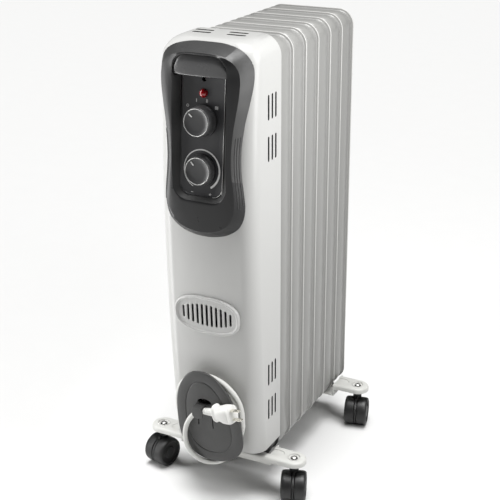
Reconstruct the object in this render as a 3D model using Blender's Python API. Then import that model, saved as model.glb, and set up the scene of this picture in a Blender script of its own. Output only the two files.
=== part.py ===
"""Oil filled radiator heater with seven fins, a front control housing, cord storage and four casters.

Frame: +Z up, the control panel faces -Y, +X is the right side seen along +Y.
The origin is at the bottom centre of the bounding box, on the floor under the wheels.
Lengths are metres.
"""

import math

import bmesh
import bpy
from mathutils import Matrix, Vector

GAP = 0.0003                      # clearance between pieces that touch
QUARTER_TURN = Matrix.Rotation(math.pi / 2, 3, "X")

FRAME_SHIFT_Y = 0.00162           # puts the origin at the middle of the depth, cord left out

# radiator fins
FIN_COUNT = 7
FIN_PITCH = 0.03964
FIN_REAR_Y = 0.1673               # rear edge of the last fin
FIN_DEPTH = 0.034                 # depth of the folded rim
FIN_HALF_WIDTH = 0.0665
FIN_BOTTOM_Z = 0.0463
FIN_TOP_Z = 0.630
FIN_CORNER_RADIUS = 0.022
FIN_SHEET = 0.0012
FIN_WEB = 0.0018
FIN_EDGE_ROUND = 0.0045
PANEL_HALF_WIDTH = 0.036          # oil panel in the middle of each fin
PANEL_DEPTH = 0.0130
PANEL_WALL = 0.0013
COLLAR_RADIUS = 0.020             # collars that join the fins
COLLAR_BORE = 0.0150
COLLAR_REACH = 0.0028
COLLAR_Z = (0.088, 0.586)

# front cover
COVER_HALF_WIDTH = 0.0684
COVER_SHEET = 0.0014
COVER_REAR_Y = -0.0705
COVER_BOTTOM_Z = 0.072
COVER_TOP_Z = 0.636
COVER_CORNER = 0.021
COVER_TOP_ROUND = 0.027
COVER_FRONT_Y = -0.1495
COVER_BOW_Z = 0.405
COVER_BOW_UPPER = 0.20            # how fast the front leans back above and below
COVER_BOW_LOWER = 0.16
COVER_CROWN = 0.0022
SIDE_VENT_Y = (-0.1060, -0.0957, -0.0859)
SIDE_VENT_ROWS = ((0.5365, 0.5685), (0.4835, 0.5160), (0.1690, 0.2005), (0.1170, 0.1475))
SIDE_VENT_WIDTH = 0.0030
TOP_VENTS = ((-0.0275, -0.0985), (-0.0310, -0.0840), (0.0210, -0.0985), (0.0170, -0.0840))
TOP_VENT_SIZE = (0.0265, 0.0030)
OPENING_HALF_X = 0.0325           # hole behind the control plate
OPENING_Z = (0.4330, 0.6060)

# oval grille
LOUVRE_Z = 0.2770
LOUVRE_HALF = (0.0480, 0.0270)
LOUVRE_COUNT = 11
LOUVRE_PITCH = 0.0070
LOUVRE_SLOT = 0.0034

# control housing
PLATE_TILT = math.atan(0.10)
PLATE_REF_Y = -0.1430
PLATE_REF_Z = 0.590
PLATE_THICK = 0.0025
PLATE_HALF_X = 0.0305
PLATE_Z = (0.4440, 0.6030)
BEZEL_OUTLINE = (                 # half outline of the housing's foot: x, z
    (0.0000, 0.6330), (0.0200, 0.6325), (0.0380, 0.6295), (0.0520, 0.6240), (0.0610, 0.6150),
    (0.0645, 0.6030), (0.0640, 0.5850), (0.0605, 0.5620), (0.0560, 0.5380), (0.0530, 0.5150),
    (0.0520, 0.4950), (0.0530, 0.4720), (0.0555, 0.4520), (0.0570, 0.4340), (0.0550, 0.4180),
    (0.0480, 0.4050), (0.0340, 0.3950), (0.0170, 0.3900), (0.0000, 0.3885))
WINDOW_HALF_WIDTH = 0.0375
WINDOW_Z = (0.439, 0.622)
HOOD_BOTTOM_Z = 0.5955

# knobs
KNOB_RADIUS = 0.0187
KNOB_FACETS = 24
SELECTOR_Z = 0.5385
THERMOSTAT_Z = 0.4775
KNOB_FRONT_Y = -0.1667
LAMP_Z = 0.5720

# cord storage
STORAGE_X = 0.0020
STORAGE_Z = 0.130
STORAGE_TILT = math.radians(5.0)
OVAL_UP = 0.0030                  # middle of the hub and the coil, above the disc's middle
OVAL_HALF = 0.0100                # half of the straight part of their sides
HUB_INNER = 0.0190
HUB_OUTER = 0.0246
COIL_INNER = 0.0249
COIL_OUTER = 0.0532
COIL_BACK = 0.0007                # the coil starts just in front of the cover
COIL_DEPTH = 0.0138
DISC_BACK = COIL_BACK + COIL_DEPTH + 2.0 * GAP
DISC_THICK = 0.0040
DISC_OUTLINE = (                  # half outline of the wrap disc, about the storage axis: x, up
    (0.0000, 0.0715), (0.0100, 0.0705), (0.0190, 0.0660), (0.0265, 0.0590), (0.0345, 0.0480),
    (0.0405, 0.0350), (0.0450, 0.0190), (0.0478, 0.0000), (0.0492, -0.0180), (0.0478, -0.0360),
    (0.0415, -0.0505), (0.0295, -0.0620), (0.0150, -0.0678), (0.0000, -0.0695))
CORD_RADIUS = 0.0034
TAIL_ROUTE = (                    # free end of the cord in the storage frame: x, up, out
    (0.0273, -0.0570, 0.0110), (0.0175, -0.0678, 0.0120), (0.0035, -0.0742, 0.0150),
    (-0.0115, -0.0730, 0.0195), (-0.0235, -0.0638, 0.0233), (-0.0315, -0.0510, 0.0250),
    (-0.0340, -0.0365, 0.0252), (-0.0325, -0.0220, 0.0248), (-0.0275, -0.0085, 0.0242),
    (-0.0195, 0.0030, 0.0237), (-0.0090, 0.0105, 0.0236), (0.0005, 0.0142, 0.0239))
PLUG_START = (0.0016, 0.0148, 0.0241)
PLUG_END = (0.0570, 0.0340, 0.0367)
GLAND_BASE = (-0.0283, -0.0132, -0.0060)
GLAND_TIP = (-0.0283, 0.0130, 0.0037)

# feet and casters
FOOT_CENTRES_Y = (-0.1003, 0.1310)
FOOT_HALF_WIDTH = 0.0170
CASTER_X = 0.1045
FOOT_TOP_Z = 0.0630
FOOT_SHEET = 0.0018
FOOT_SKIRT = 0.0075
SEAT_TOP_Z = FIN_BOTTOM_Z - GAP
SEAT_HALF_X = 0.0700
STEM_RADIUS = 0.0046
WHEEL_RADIUS = 0.0213
WHEEL_WIDTH = 0.0150
WHEEL_FACETS = 20
AXLE_RADIUS = 0.0022
WEB_HALF = 0.0017
TRAIL = 0.0050
UBOLT_RADIUS = 0.0025
UBOLT_HALF = COLLAR_RADIUS + UBOLT_RADIUS + 0.0005
UBOLT_BOTTOM_Z = 0.0335
UBOLT_Y = (-0.0860, 0.1205)
CASTER_HEADINGS = {               # turn of each caster about its stem, degrees
    "front_left": -12.6, "front_right": 20.5, "rear_left": -20.5, "rear_right": 13.8}


def clear_scene():
    for obj in list(bpy.data.objects):
        bpy.data.objects.remove(obj, do_unlink=True)


def material(name, colour, roughness, metallic=0.0):
    mat = bpy.data.materials.new(name)
    mat.use_nodes = True
    shader = mat.node_tree.nodes["Principled BSDF"]
    shader.inputs["Base Color"].default_value = (*colour, 1.0)
    shader.inputs["Roughness"].default_value = roughness
    shader.inputs["Metallic"].default_value = metallic
    return mat


def add_object(name, bm, mat=None, sharp_deg=35.0):
    """Turn a bmesh into a named object whose round faces shade smooth."""
    bmesh.ops.recalc_face_normals(bm, faces=bm.faces)
    mesh = bpy.data.meshes.new(name)
    bm.to_mesh(mesh)
    bm.free()
    obj = bpy.data.objects.new(name, mesh)
    bpy.context.scene.collection.objects.link(obj)
    if mat is not None:
        mesh.materials.append(mat)
    mesh.shade_smooth()
    mesh.set_sharp_from_angle(angle=math.radians(sharp_deg))
    return obj


def loft(rings):
    """A closed solid through rings of equal point count, capped at both ends."""
    bm = bmesh.new()
    rows = [[bm.verts.new(point) for point in ring] for ring in rings]
    count = len(rows[0])
    for low, high in zip(rows, rows[1:]):
        for i in range(count):
            j = (i + 1) % count
            bm.faces.new((low[i], low[j], high[j], high[i]))
    bm.faces.new(list(reversed(rows[0])))
    bm.faces.new(rows[-1])
    return bm


def rounded_rect(half_x, z_low, z_high, radius, segments=4):
    """Points of a rounded rectangle in the XZ plane, anticlockwise seen along +Y."""
    points = []
    corners = ((half_x - radius, z_high - radius, 0.0), (-half_x + radius, z_high - radius, 90.0),
               (-half_x + radius, z_low + radius, 180.0), (half_x - radius, z_low + radius, 270.0))
    for cx, cz, start in corners:
        for k in range(segments + 1):
            angle = math.radians(start + 90.0 * k / segments)
            points.append((cx + radius * math.cos(angle), cz + radius * math.sin(angle)))
    return points


def slab(points, y_low, y_high):
    """Extrude an XZ outline along Y."""
    return loft([[(x, y, z) for x, z in points] for y in (y_low, y_high)])


def box(centre, size):
    bm = bmesh.new()
    bmesh.ops.create_cube(bm, size=1.0, matrix=Matrix.Translation(centre) @ Matrix.Diagonal((*size, 1.0)))
    return bm


def turned(profile, segments, phase=0.0):
    """Turn (radius, height) points about +Y; the profile's two ends close on the axis."""
    rings = []
    for radius, height in profile:
        ring = []
        for k in range(segments):
            angle = phase + math.tau * k / segments
            ring.append((radius * math.cos(angle), height, radius * math.sin(angle)))
        rings.append(ring)
    return loft(rings)


def closed_band(rings):
    """A closed ring-shaped solid through rings that lead back to the first one."""
    bm = bmesh.new()
    rows = [[bm.verts.new(point) for point in ring] for ring in rings]
    count = len(rows[0])
    for i, row in enumerate(rows):
        after = rows[(i + 1) % len(rows)]
        for k in range(count):
            j = (k + 1) % count
            bm.faces.new((row[k], row[j], after[j], after[k]))
    return bm


def ring_solid(inner, outer, y_low, y_high, segments):
    """A turned ring of rectangular section about +Y."""
    rings = []
    for radius, y in ((inner, y_low), (outer, y_low), (outer, y_high), (inner, y_high)):
        angles = [math.tau * k / segments for k in range(segments)]
        rings.append([(radius * math.cos(a), y, radius * math.sin(a)) for a in angles])
    return closed_band(rings)


def moved(bm, location=(0.0, 0.0, 0.0), rotation=None):
    matrix = Matrix.Translation(location)
    if rotation is not None:
        matrix = matrix @ rotation.to_4x4()
    bmesh.ops.transform(bm, matrix=matrix, verts=bm.verts)
    return bm


def combine(target, others, operation):
    """Union, cut or intersect a target object with bmeshes, and keep the result as its mesh."""
    cutters = []
    for index, bm in enumerate(others):
        cutter = add_object(f"{target.name}_tool_{index}", bm)
        modifier = target.modifiers.new(f"tool_{index}", "BOOLEAN")
        modifier.operation = operation
        modifier.solver = "EXACT"
        modifier.object = cutter
        cutters.append(cutter)
    graph = bpy.context.evaluated_depsgraph_get()
    mesh = bpy.data.meshes.new_from_object(target.evaluated_get(graph))
    target.modifiers.clear()
    target.data = mesh
    for cutter in cutters:
        bpy.data.objects.remove(cutter, do_unlink=True)
    mesh.shade_smooth()
    mesh.set_sharp_from_angle(angle=math.radians(35.0))
    return target


def fuse(target, *others):
    return combine(target, others, "UNION")


def cut(target, *others):
    return combine(target, others, "DIFFERENCE")


def place(obj, location=(0.0, 0.0, 0.0), tilt=0.0, turn=0.0):
    """Put a piece at a point, tilted about X after a turn about Z."""
    obj.location = location
    obj.rotation_euler = (tilt, 0.0, turn)
    return obj


# ---------------------------------------------------------------- shapes of the front cover

def bow_y(z):
    """Y of the cover's middle line in front, which leans back above and below."""
    rate = COVER_BOW_UPPER if z > COVER_BOW_Z else COVER_BOW_LOWER
    return COVER_FRONT_Y + rate * (z - COVER_BOW_Z) ** 2


def cover_ring(z, half_width, front_y, corner, rear_y, segments=6):
    """One level of the cover's outline, from the rear left round the front to the rear right."""
    points = [(-half_width, rear_y, z)]
    flat = half_width - corner
    for k in range(segments + 1):
        angle = math.radians(180.0 + 90.0 * k / segments)
        points.append((-flat + corner * math.cos(angle), front_y + corner + corner * math.sin(angle), z))
    for k in range(1, 4):
        x = -flat + 2.0 * flat * k / 4.0
        points.append((x, front_y - COVER_CROWN * (1.0 - (x / flat) ** 2), z))
    for k in range(segments + 1):
        angle = math.radians(270.0 + 90.0 * k / segments)
        points.append((flat + corner * math.cos(angle), front_y + corner + corner * math.sin(angle), z))
    points.append((half_width, rear_y, z))
    return points


def cover_solid(offset, bottom_z, rear_y):
    """The cover's outer form, grown by an offset (negative shrinks it)."""
    rings = []
    levels = [COVER_BOTTOM_Z, 0.150, 0.240, 0.320, 0.400, 0.480, 0.550, COVER_TOP_Z - COVER_TOP_ROUND]
    if bottom_z < COVER_BOTTOM_Z:
        levels.insert(0, bottom_z)
    for z in levels:
        rings.append(cover_ring(z, COVER_HALF_WIDTH + offset, bow_y(z) - offset,
                                COVER_CORNER + offset, rear_y))
    for k in range(1, 6):
        angle = math.radians(90.0 * k / 5.5)
        inset = COVER_TOP_ROUND * (1.0 - math.cos(angle))
        z = COVER_TOP_Z - COVER_TOP_ROUND + (COVER_TOP_ROUND + offset) * math.sin(angle)
        rings.append(cover_ring(z, COVER_HALF_WIDTH + offset - inset,
                                bow_y(z) - offset + 0.75 * inset, COVER_CORNER + offset, rear_y))
    return loft(rings)


def superellipse(half_x, half_z, centre_z, count, power=2.6):
    points = []
    for k in range(count):
        angle = math.tau * k / count
        c, s = math.cos(angle), math.sin(angle)
        x = math.copysign(abs(c) ** (2.0 / power), c) * half_x
        z = math.copysign(abs(s) ** (2.0 / power), s) * half_z
        points.append((x, centre_z + z))
    return points


def build_cover(mats):
    cover = add_object("front_cover", cover_solid(0.0, COVER_BOTTOM_Z, COVER_REAR_Y), mats["white"])
    tools = [cover_solid(-COVER_SHEET, COVER_BOTTOM_Z - 0.010, COVER_REAR_Y + 0.010)]
    tools.append(slab(rounded_rect(OPENING_HALF_X, *OPENING_Z, 0.006, 2), -0.170, -0.125))
    tools.append(slab(superellipse(LOUVRE_HALF[0] - 0.0035, LOUVRE_HALF[1] - 0.0035, LOUVRE_Z, 24),
                      -0.170, -0.130))
    tools.append(moved(gland_solid(GAP), storage_origin(), storage_rotation()))
    for low, high in SIDE_VENT_ROWS:
        for y in SIDE_VENT_Y:
            for side in (-1.0, 1.0):
                tools.append(box((side * COVER_HALF_WIDTH, y, (low + high) / 2.0),
                                 (0.008, SIDE_VENT_WIDTH, high - low)))
    for x, y in TOP_VENTS:
        tools.append(box((x, y, COVER_TOP_Z), (*TOP_VENT_SIZE, 0.010)))
    return cut(cover, *tools)


# ---------------------------------------------------------------- radiator

def fin_rear_y(index):
    return FIN_REAR_Y - FIN_PITCH * (FIN_COUNT - 1 - index)


def collar_end(index):
    """Rear end of a fin's collars: at the next fin's collars, or inside the last fin's tray."""
    front = fin_rear_y(index) - FIN_DEPTH
    if index == FIN_COUNT - 1:
        return front + PANEL_DEPTH + COLLAR_REACH
    return front + FIN_PITCH - COLLAR_REACH - GAP


def build_fin(index, mats, bolt_y=None):
    """One fin: a folded sheet tray, the oil panel inside it and a collar at each end."""
    rear = fin_rear_y(index)
    front = rear - FIN_DEPTH

    def outline(inset, y):
        points = rounded_rect(FIN_HALF_WIDTH - inset, FIN_BOTTOM_Z + inset, FIN_TOP_Z - inset,
                              FIN_CORNER_RADIUS - inset)
        return [(x, y, z) for x, z in points]

    edge = FIN_EDGE_ROUND
    tray = loft([outline(edge, front), outline(0.30 * edge, front + 0.30 * edge),
                 outline(0.0, front + edge), outline(0.0, rear)])
    fin = add_object(f"fin_{index + 1}", tray, mats["fin"])
    hollow = loft([outline(edge + 0.0005, front + FIN_WEB),
                   outline(FIN_SHEET, front + FIN_WEB + edge), outline(FIN_SHEET, rear + 0.004)])
    cut(fin, hollow)

    def panel(inset, y_low, y_high):
        z_low = COLLAR_Z[0] - 0.026 + inset
        z_high = COLLAR_Z[1] + 0.026 - inset
        half = PANEL_HALF_WIDTH - inset
        outline_points = rounded_rect(half, z_low, z_high, 0.010 - inset, 2)
        return slab(outline_points, y_low, y_high)

    parts = [panel(0.0, front + 0.0008, front + PANEL_DEPTH)]
    bores = [panel(PANEL_WALL, front + FIN_WEB, front + PANEL_DEPTH - PANEL_WALL)]
    for z in COLLAR_Z:
        span = (front - COLLAR_REACH, collar_end(index))
        tube = turned([(COLLAR_RADIUS, span[0]), (COLLAR_RADIUS, span[1])], 14)
        parts.append(moved(tube, (0.0, 0.0, z)))
        bore = turned([(COLLAR_BORE, span[0] - 0.002), (COLLAR_BORE, span[1] + 0.002)], 14)
        bores.append(moved(bore, (0.0, 0.0, z)))
    fuse(fin, *parts)
    if bolt_y is not None:
        for side in (-1.0, 1.0):
            hole = turned([(0.0034, -0.006), (0.0034, 0.006)], 10)
            moved(hole, (side * UBOLT_HALF, bolt_y, FIN_BOTTOM_Z), QUARTER_TURN)
            bores.append(hole)
    cut(fin, *bores)
    return fin


def rounded_path(points, step):
    """Points at even steps along a smooth curve through the given points."""
    knots = [Vector(p) for p in points]
    ends = [2.0 * knots[0] - knots[1]] + knots + [2.0 * knots[-1] - knots[-2]]
    fine = []
    for p0, p1, p2, p3 in zip(ends, ends[1:], ends[2:], ends[3:]):
        for k in range(24):
            t = k / 24.0
            fine.append(0.5 * (2.0 * p1 + (p2 - p0) * t + (2.0 * p0 - 5.0 * p1 + 4.0 * p2 - p3) * t * t
                               + (3.0 * p1 - p0 - 3.0 * p2 + p3) * t ** 3))
    fine.append(knots[-1])
    total = sum((b - a).length for a, b in zip(fine, fine[1:]))
    count = max(2, round(total / step))
    spacing = total / count
    result = [fine[0]]
    run = 0.0
    for a, b in zip(fine, fine[1:]):
        length = (b - a).length
        while length > 0.0 and run + length >= spacing * len(result) and len(result) < count:
            result.append(a.lerp(b, (spacing * len(result) - run) / length))
        run += length
    result.append(fine[-1])
    return result


def build_tube(name, points, radius, mat, resolution=2):
    curve = bpy.data.curves.new(name, "CURVE")
    curve.dimensions = "3D"
    curve.bevel_depth = radius
    curve.bevel_resolution = resolution
    curve.render_resolution_u = 0
    curve.use_fill_caps = True
    spline = curve.splines.new("POLY")
    spline.points.add(len(points) - 1)
    for target, point in zip(spline.points, points):
        target.co = (*point, 1.0)
    curve.materials.append(mat)
    obj = bpy.data.objects.new(name, curve)
    bpy.context.scene.collection.objects.link(obj)
    return obj


def build_radiator(mats):
    bolt_rows = {0: UBOLT_Y[0], FIN_COUNT - 2: UBOLT_Y[1]}
    for index in range(FIN_COUNT):
        build_fin(index, mats, bolt_rows.get(index))
    front_end = fin_rear_y(0) - FIN_DEPTH - COLLAR_REACH
    rear_end = collar_end(FIN_COUNT - 1)
    plug_sets = (("front_top_plug", front_end, COLLAR_Z[1], -1.0),
                 ("rear_top_plug", rear_end, COLLAR_Z[1], 1.0),
                 ("rear_bottom_plug", rear_end, COLLAR_Z[0], 1.0))
    for name, end, z, way in plug_sets:
        profile = [(COLLAR_BORE - 0.0008, -0.006), (COLLAR_BORE - 0.0008, GAP), (COLLAR_RADIUS - 0.001, GAP),
                   (COLLAR_RADIUS - 0.001, 0.0015), (COLLAR_RADIUS - 0.003, 0.0030)]
        plug = turned([(r, way * h) for r, h in profile], 16)
        add_object(name, moved(plug, (0.0, end, z)), mats["steel"])
    flange = turned([(0.0142, 0.006), (0.0142, -GAP), (0.0190, -GAP), (0.0190, -0.0030)], 16)
    flange = add_object("element_flange", moved(flange, (0.0, front_end, COLLAR_Z[0])), mats["steel"])
    holes = []
    legs = (COLLAR_Z[0] - 0.0075, COLLAR_Z[0] + 0.0075)
    for z in legs:
        hole = turned([(0.0040, -0.020), (0.0040, 0.020)], 12)
        holes.append(moved(hole, (0.0, front_end, z)))
    cut(flange, *holes)
    tip = front_end + 0.205
    route = [(0.0, front_end - 0.006, legs[0]), (0.0, front_end + 0.100, legs[0]),
             (0.0, tip - 0.010, legs[0])]
    for k in range(1, 8):
        angle = math.radians(-90.0 + 180.0 * k / 8.0)
        route.append((0.0, tip - 0.010 + 0.0075 * math.cos(angle), COLLAR_Z[0] + 0.0075 * math.sin(angle)))
    route += [(0.0, tip - 0.010, legs[1]), (0.0, front_end + 0.100, legs[1]),
              (0.0, front_end - 0.006, legs[1])]
    build_tube("heating_element", route, 0.0034, mats["steel"], 1)


# ---------------------------------------------------------------- control housing

def mirrored(half):
    """A closed outline from its right half, which starts and ends on the middle line."""
    left = [(-x, z) for x, z in reversed(half[1:-1])]
    return list(half) + left


def bezel_ring(inset, rise):
    """One ring of the bezel: the foot outline pulled in, standing off the cover's front line."""
    centre_z = (BEZEL_OUTLINE[0][1] + BEZEL_OUTLINE[-1][1]) / 2.0
    half_x = max(x for x, z in BEZEL_OUTLINE)
    half_z = BEZEL_OUTLINE[0][1] - centre_z
    ring = []
    for x, z in mirrored(BEZEL_OUTLINE):
        px = x * (1.0 - inset / half_x)
        pz = centre_z + (z - centre_z) * (1.0 - inset / half_z)
        bulge = 1.0 - (px / half_x) ** 2
        ring.append((px, bow_y(min(pz, 0.600)) - rise - 0.0035 * bulge, pz))
    return ring


def plate_y(z):
    return PLATE_REF_Y - (PLATE_REF_Z - z) * math.tan(PLATE_TILT)


def tilted_ring(points, lift):
    """An outline laid on the tilted plate plane, lifted along its normal."""
    normal = Vector((0.0, -math.cos(PLATE_TILT), math.sin(PLATE_TILT)))
    ring = []
    for x, z in points:
        ring.append(tuple(Vector((x, plate_y(z), z)) + normal * lift))
    return ring


def build_bezel(mats):
    rings = []
    for inset, rise in ((0.0, -0.030), (0.0, -0.0005), (0.0015, 0.0025), (0.0060, 0.0075),
                        (0.0095, 0.0096), (0.0130, 0.0105)):
        rings.append(bezel_ring(inset, rise))
    bezel = add_object("bezel", loft(list(reversed(rings))), mats["charcoal"])
    window = rounded_rect(WINDOW_HALF_WIDTH, *WINDOW_Z, 0.020, 5)
    seat = rounded_rect(PLATE_HALF_X + GAP, PLATE_Z[0] - GAP, PLATE_Z[1] + GAP, 0.014, 5)
    pocket = loft([tilted_ring(seat, -0.040), tilted_ring(seat, 0.0),
                   tilted_ring(window, 0.016), tilted_ring(window, 0.040)])
    cut(bezel, cover_solid(GAP, 0.0, 0.0), pocket, hood_solid(GAP))
    return bezel


def hood_solid(grow):
    """The bar across the top of the window, grown by an offset."""
    rings = []
    half = WINDOW_HALF_WIDTH - 0.0010 + 2.0 * grow
    for k in range(9):
        x = -half + 2.0 * half * k / 8.0
        side = abs(k - 4) / 4.0
        drop = 0.0150 * max(0.0, side - 0.55) ** 2 / 0.45 ** 2
        top = WINDOW_Z[1] - 0.0008 - drop
        front = bow_y(0.595) - 0.0145 + 0.0030 * side ** 2
        section = [(front + 0.0095, HOOD_BOTTOM_Z + 0.0060), (front + 0.0060, HOOD_BOTTOM_Z),
                   (front + 0.0012, HOOD_BOTTOM_Z + 0.0006), (front, HOOD_BOTTOM_Z + 0.0030),
                   (front + 0.0010, (HOOD_BOTTOM_Z + top) / 2.0 + 0.0020), (front + 0.0045, top),
                   (front + 0.0110, top)]
        centre = Vector((sum(y for y, z in section), sum(z for y, z in section))) / len(section)
        ring = []
        for point in section:
            away = Vector(point) - centre
            spread = centre + away * (1.0 + 4.5 * grow / away.length)
            ring.append((x, spread.x, spread.y))
        rings.append(ring)
    return loft(rings)


def build_hood(mats):
    """The glossy bar across the top of the window, which is also the pull handle."""
    return add_object("handle_hood", hood_solid(0.0), mats["gloss"])


def build_controls(mats):
    plate = add_object("control_plate", loft([
        tilted_ring(rounded_rect(PLATE_HALF_X, *PLATE_Z, 0.0137, 5), -PLATE_THICK),
        tilted_ring(rounded_rect(PLATE_HALF_X, *PLATE_Z, 0.0137, 5), 0.0)]), mats["panel"])
    holes = []
    for z, radius in ((SELECTOR_Z, 0.0056), (THERMOSTAT_Z, 0.0056), (LAMP_Z, 0.0050), (0.5890, 0.0026)):
        hole = turned([(radius, -0.012), (radius, 0.012)], 16)
        holes.append(moved(hole, (0.0, plate_y(z), z), Matrix.Rotation(-PLATE_TILT, 3, "X")))
    cut(plate, *holes)

    controls = (("selector", "selector_switch", SELECTOR_Z), ("thermostat", "thermostat_body", THERMOSTAT_Z))
    for name, body_name, z in controls:
        reach = (plate_y(z) - KNOB_FRONT_Y) / math.cos(PLATE_TILT)
        origin = (0.0, plate_y(z), z)
        profile = [(0.0048, -0.0015), (KNOB_RADIUS + 0.0010, -0.0015), (KNOB_RADIUS + 0.0006, -0.0060),
                   (KNOB_RADIUS, -reach + 0.0016), (KNOB_RADIUS - 0.0012, -reach + 0.0002),
                   (KNOB_RADIUS - 0.0030, -reach)]
        knob = add_object(f"{name}_knob", turned(profile, KNOB_FACETS), mats["knob"])
        cut(knob, turned([(0.0033, 0.010), (0.0033, -reach + 0.0050)], 12))
        place(knob, origin, -PLATE_TILT)
        shaft = turned([(0.0030, 0.0100), (0.0030, -reach + 0.0053)], 12)
        place(add_object(f"{name}_shaft", shaft, mats["steel"]), origin, -PLATE_TILT)
        body = box((0.0, PLATE_THICK + GAP + 0.0085, 0.0), (0.0300, 0.0170, 0.0260))
        body = add_object(body_name, body, mats["bakelite"])
        cut(body, turned([(0.0033, -0.010), (0.0033, 0.0107)], 12))
        place(body, origin, -PLATE_TILT)

    lamp = turned([(0.0046, 0.0060), (0.0046, -0.0008), (0.0044, -0.0028), (0.0036, -0.0044),
                   (0.0022, -0.0054), (0.0006, -0.0057)], 16)
    place(add_object("indicator_lens", lamp, mats["lens"]), (0.0, plate_y(LAMP_Z), LAMP_Z), -PLATE_TILT)


# ---------------------------------------------------------------- pieces inside the cover

def build_inside(mats):
    shield_y = fin_rear_y(0) - FIN_DEPTH - 0.0075
    shield_width = 2.0 * (COVER_HALF_WIDTH - COVER_SHEET - GAP)
    shield = add_object("heat_shield", box((0.0, shield_y, 0.3450), (shield_width, 0.0010, 0.5300)),
                        mats["zinc"])
    holes = []
    for z in COLLAR_Z:
        hole = turned([(0.0230, -0.010), (0.0230, 0.010)], 16)
        holes.append(moved(hole, (0.0, shield_y, z)))
    cut(shield, *holes)
    front = shield_y - 0.0008
    cutoff = turned([(0.0080, 0.0), (0.0080, -0.0080), (0.0060, -0.0100)], 16)
    add_object("thermal_cutoff", moved(cutoff, (0.0260, front, 0.3600)), mats["steel"])
    add_object("tip_over_switch", box((0.0300, front - 0.0080, 0.1650), (0.0240, 0.0160, 0.0300)),
               mats["bakelite"])
    add_object("terminal_block", box((-0.0300, front - 0.0070, 0.2050), (0.0420, 0.0140, 0.0200)),
               mats["bakelite"])


def build_louvre(mats):
    """The oval grille in the middle of the cover, with a raised rim and upright slots."""
    y = bow_y(LOUVRE_Z)

    def oval_slab(inset, y_low, y_high):
        outline = superellipse(LOUVRE_HALF[0] - inset, LOUVRE_HALF[1] - inset, LOUVRE_Z, 24)
        return slab(outline, y_low, y_high)

    grille = add_object("louvre_grille", oval_slab(0.0040, y - 0.0034, y + 0.0080), mats["white"])
    fuse(grille, oval_slab(0.0, y - 0.0055, y + 0.0020))
    tools = [cover_solid(GAP, 0.0, 0.0), oval_slab(0.0060, y - 0.0005, y + 0.0120)]
    for k in range(LOUVRE_COUNT):
        x = LOUVRE_PITCH * (k - (LOUVRE_COUNT - 1) / 2.0)
        half = 0.0165 * math.sqrt(1.0 - (x / 0.0430) ** 2) - 0.0010
        tools.append(box((x, y, LOUVRE_Z), (LOUVRE_SLOT, 0.030, 2.0 * half)))
    return cut(grille, *tools)


# ---------------------------------------------------------------- cord storage

def storage_origin():
    return Vector((STORAGE_X, bow_y(STORAGE_Z) - COVER_CROWN, STORAGE_Z))


def storage_rotation():
    return Matrix.Rotation(STORAGE_TILT, 3, "X")


def storage_place(obj):
    return place(obj, storage_origin(), STORAGE_TILT)


def storage_point(x, up, out):
    """World point from the storage frame: x, up along the cover, out along its normal."""
    return storage_origin() + storage_rotation() @ Vector((x, -out, up))


def gland_solid(grow):
    """The tapered strain relief in the storage frame, from behind the cover to the coil, grown."""
    base = Vector((GLAND_BASE[0], -GLAND_BASE[2], GLAND_BASE[1]))
    tip = Vector((GLAND_TIP[0], -GLAND_TIP[2], GLAND_TIP[1]))
    length = (tip - base).length
    profile = [(0.0060 + grow, -grow), (0.0060 + grow, 0.0050), (0.0037 + grow, length - 0.0020),
               (0.0037 + grow, length + grow)]
    return moved(turned(profile, 12), base, (tip - base).to_track_quat("Y", "Z").to_matrix())


def oval_points(radius, segments=9):
    """The storage oval in the storage frame: two half circles joined by short straights, as x and up."""
    points = []
    for centre, start in ((OVAL_UP + OVAL_HALF, 0.0), (OVAL_UP - OVAL_HALF, 180.0)):
        for k in range(segments + 1):
            angle = math.radians(start + 180.0 * k / segments)
            points.append((radius * math.cos(angle), centre + radius * math.sin(angle)))
    return points


def oval_ring(section):
    """A closed oval band through (radius, out) points."""
    return closed_band([[(x, -out, up) for x, up in oval_points(radius)] for radius, out in section])


def build_storage(mats):
    hub = add_object("cord_hub", oval_ring([(HUB_INNER, -0.0060), (HUB_OUTER, -0.0060),
                                            (HUB_OUTER, DISC_BACK - GAP), (HUB_INNER, DISC_BACK - GAP)]),
                     mats["charcoal"])
    back = storage_rotation().inverted()
    cut(hub, moved(cover_solid(GAP, 0.0, 0.0), -(back @ storage_origin()), back), gland_solid(GAP))
    storage_place(hub)

    front = COIL_BACK + COIL_DEPTH
    coil = add_object("cord_coil", oval_ring([
        (COIL_INNER, COIL_BACK), (COIL_OUTER - 0.0030, COIL_BACK), (COIL_OUTER, COIL_BACK + 0.0030),
        (COIL_OUTER, front - 0.0030), (COIL_OUTER - 0.0030, front), (COIL_INNER, front)]), mats["cord"])
    storage_place(cut(coil, gland_solid(GAP)))
    storage_place(add_object("cord_strain_relief", gland_solid(0.0), mats["cord"]))

    outline = mirrored(DISC_OUTLINE)
    rings = []
    for scale, out in ((0.97, DISC_BACK), (1.0, DISC_BACK + 0.0012), (1.0, DISC_BACK + 0.0028),
                       (0.96, DISC_BACK + DISC_THICK)):
        rings.append([(x * scale, -out, z * scale) for x, z in outline])
    disc = add_object("cord_wrap_disc", loft(rings), mats["disc"])
    face = DISC_BACK + DISC_THICK
    clip_leg = box((-0.0095, -face - 0.0044, 0.0189), (0.0160, 0.0116, 0.0024))
    clip_lip = box((-0.0095, -face - 0.0093, 0.0116), (0.0160, 0.0018, 0.0170))
    fuse(disc, clip_leg, clip_lip)
    hole = [(x - 0.0025, z) for x, z in superellipse(0.0105, 0.0050, 0.0254, 16, 2.0)]
    storage_place(cut(disc, slab(hole, -0.040, 0.0)))

    build_tube("cord_tail", rounded_path([storage_point(*p) for p in TAIL_ROUTE], 4.5 * CORD_RADIUS),
               CORD_RADIUS, mats["cord"])
    build_plug(mats)


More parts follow.
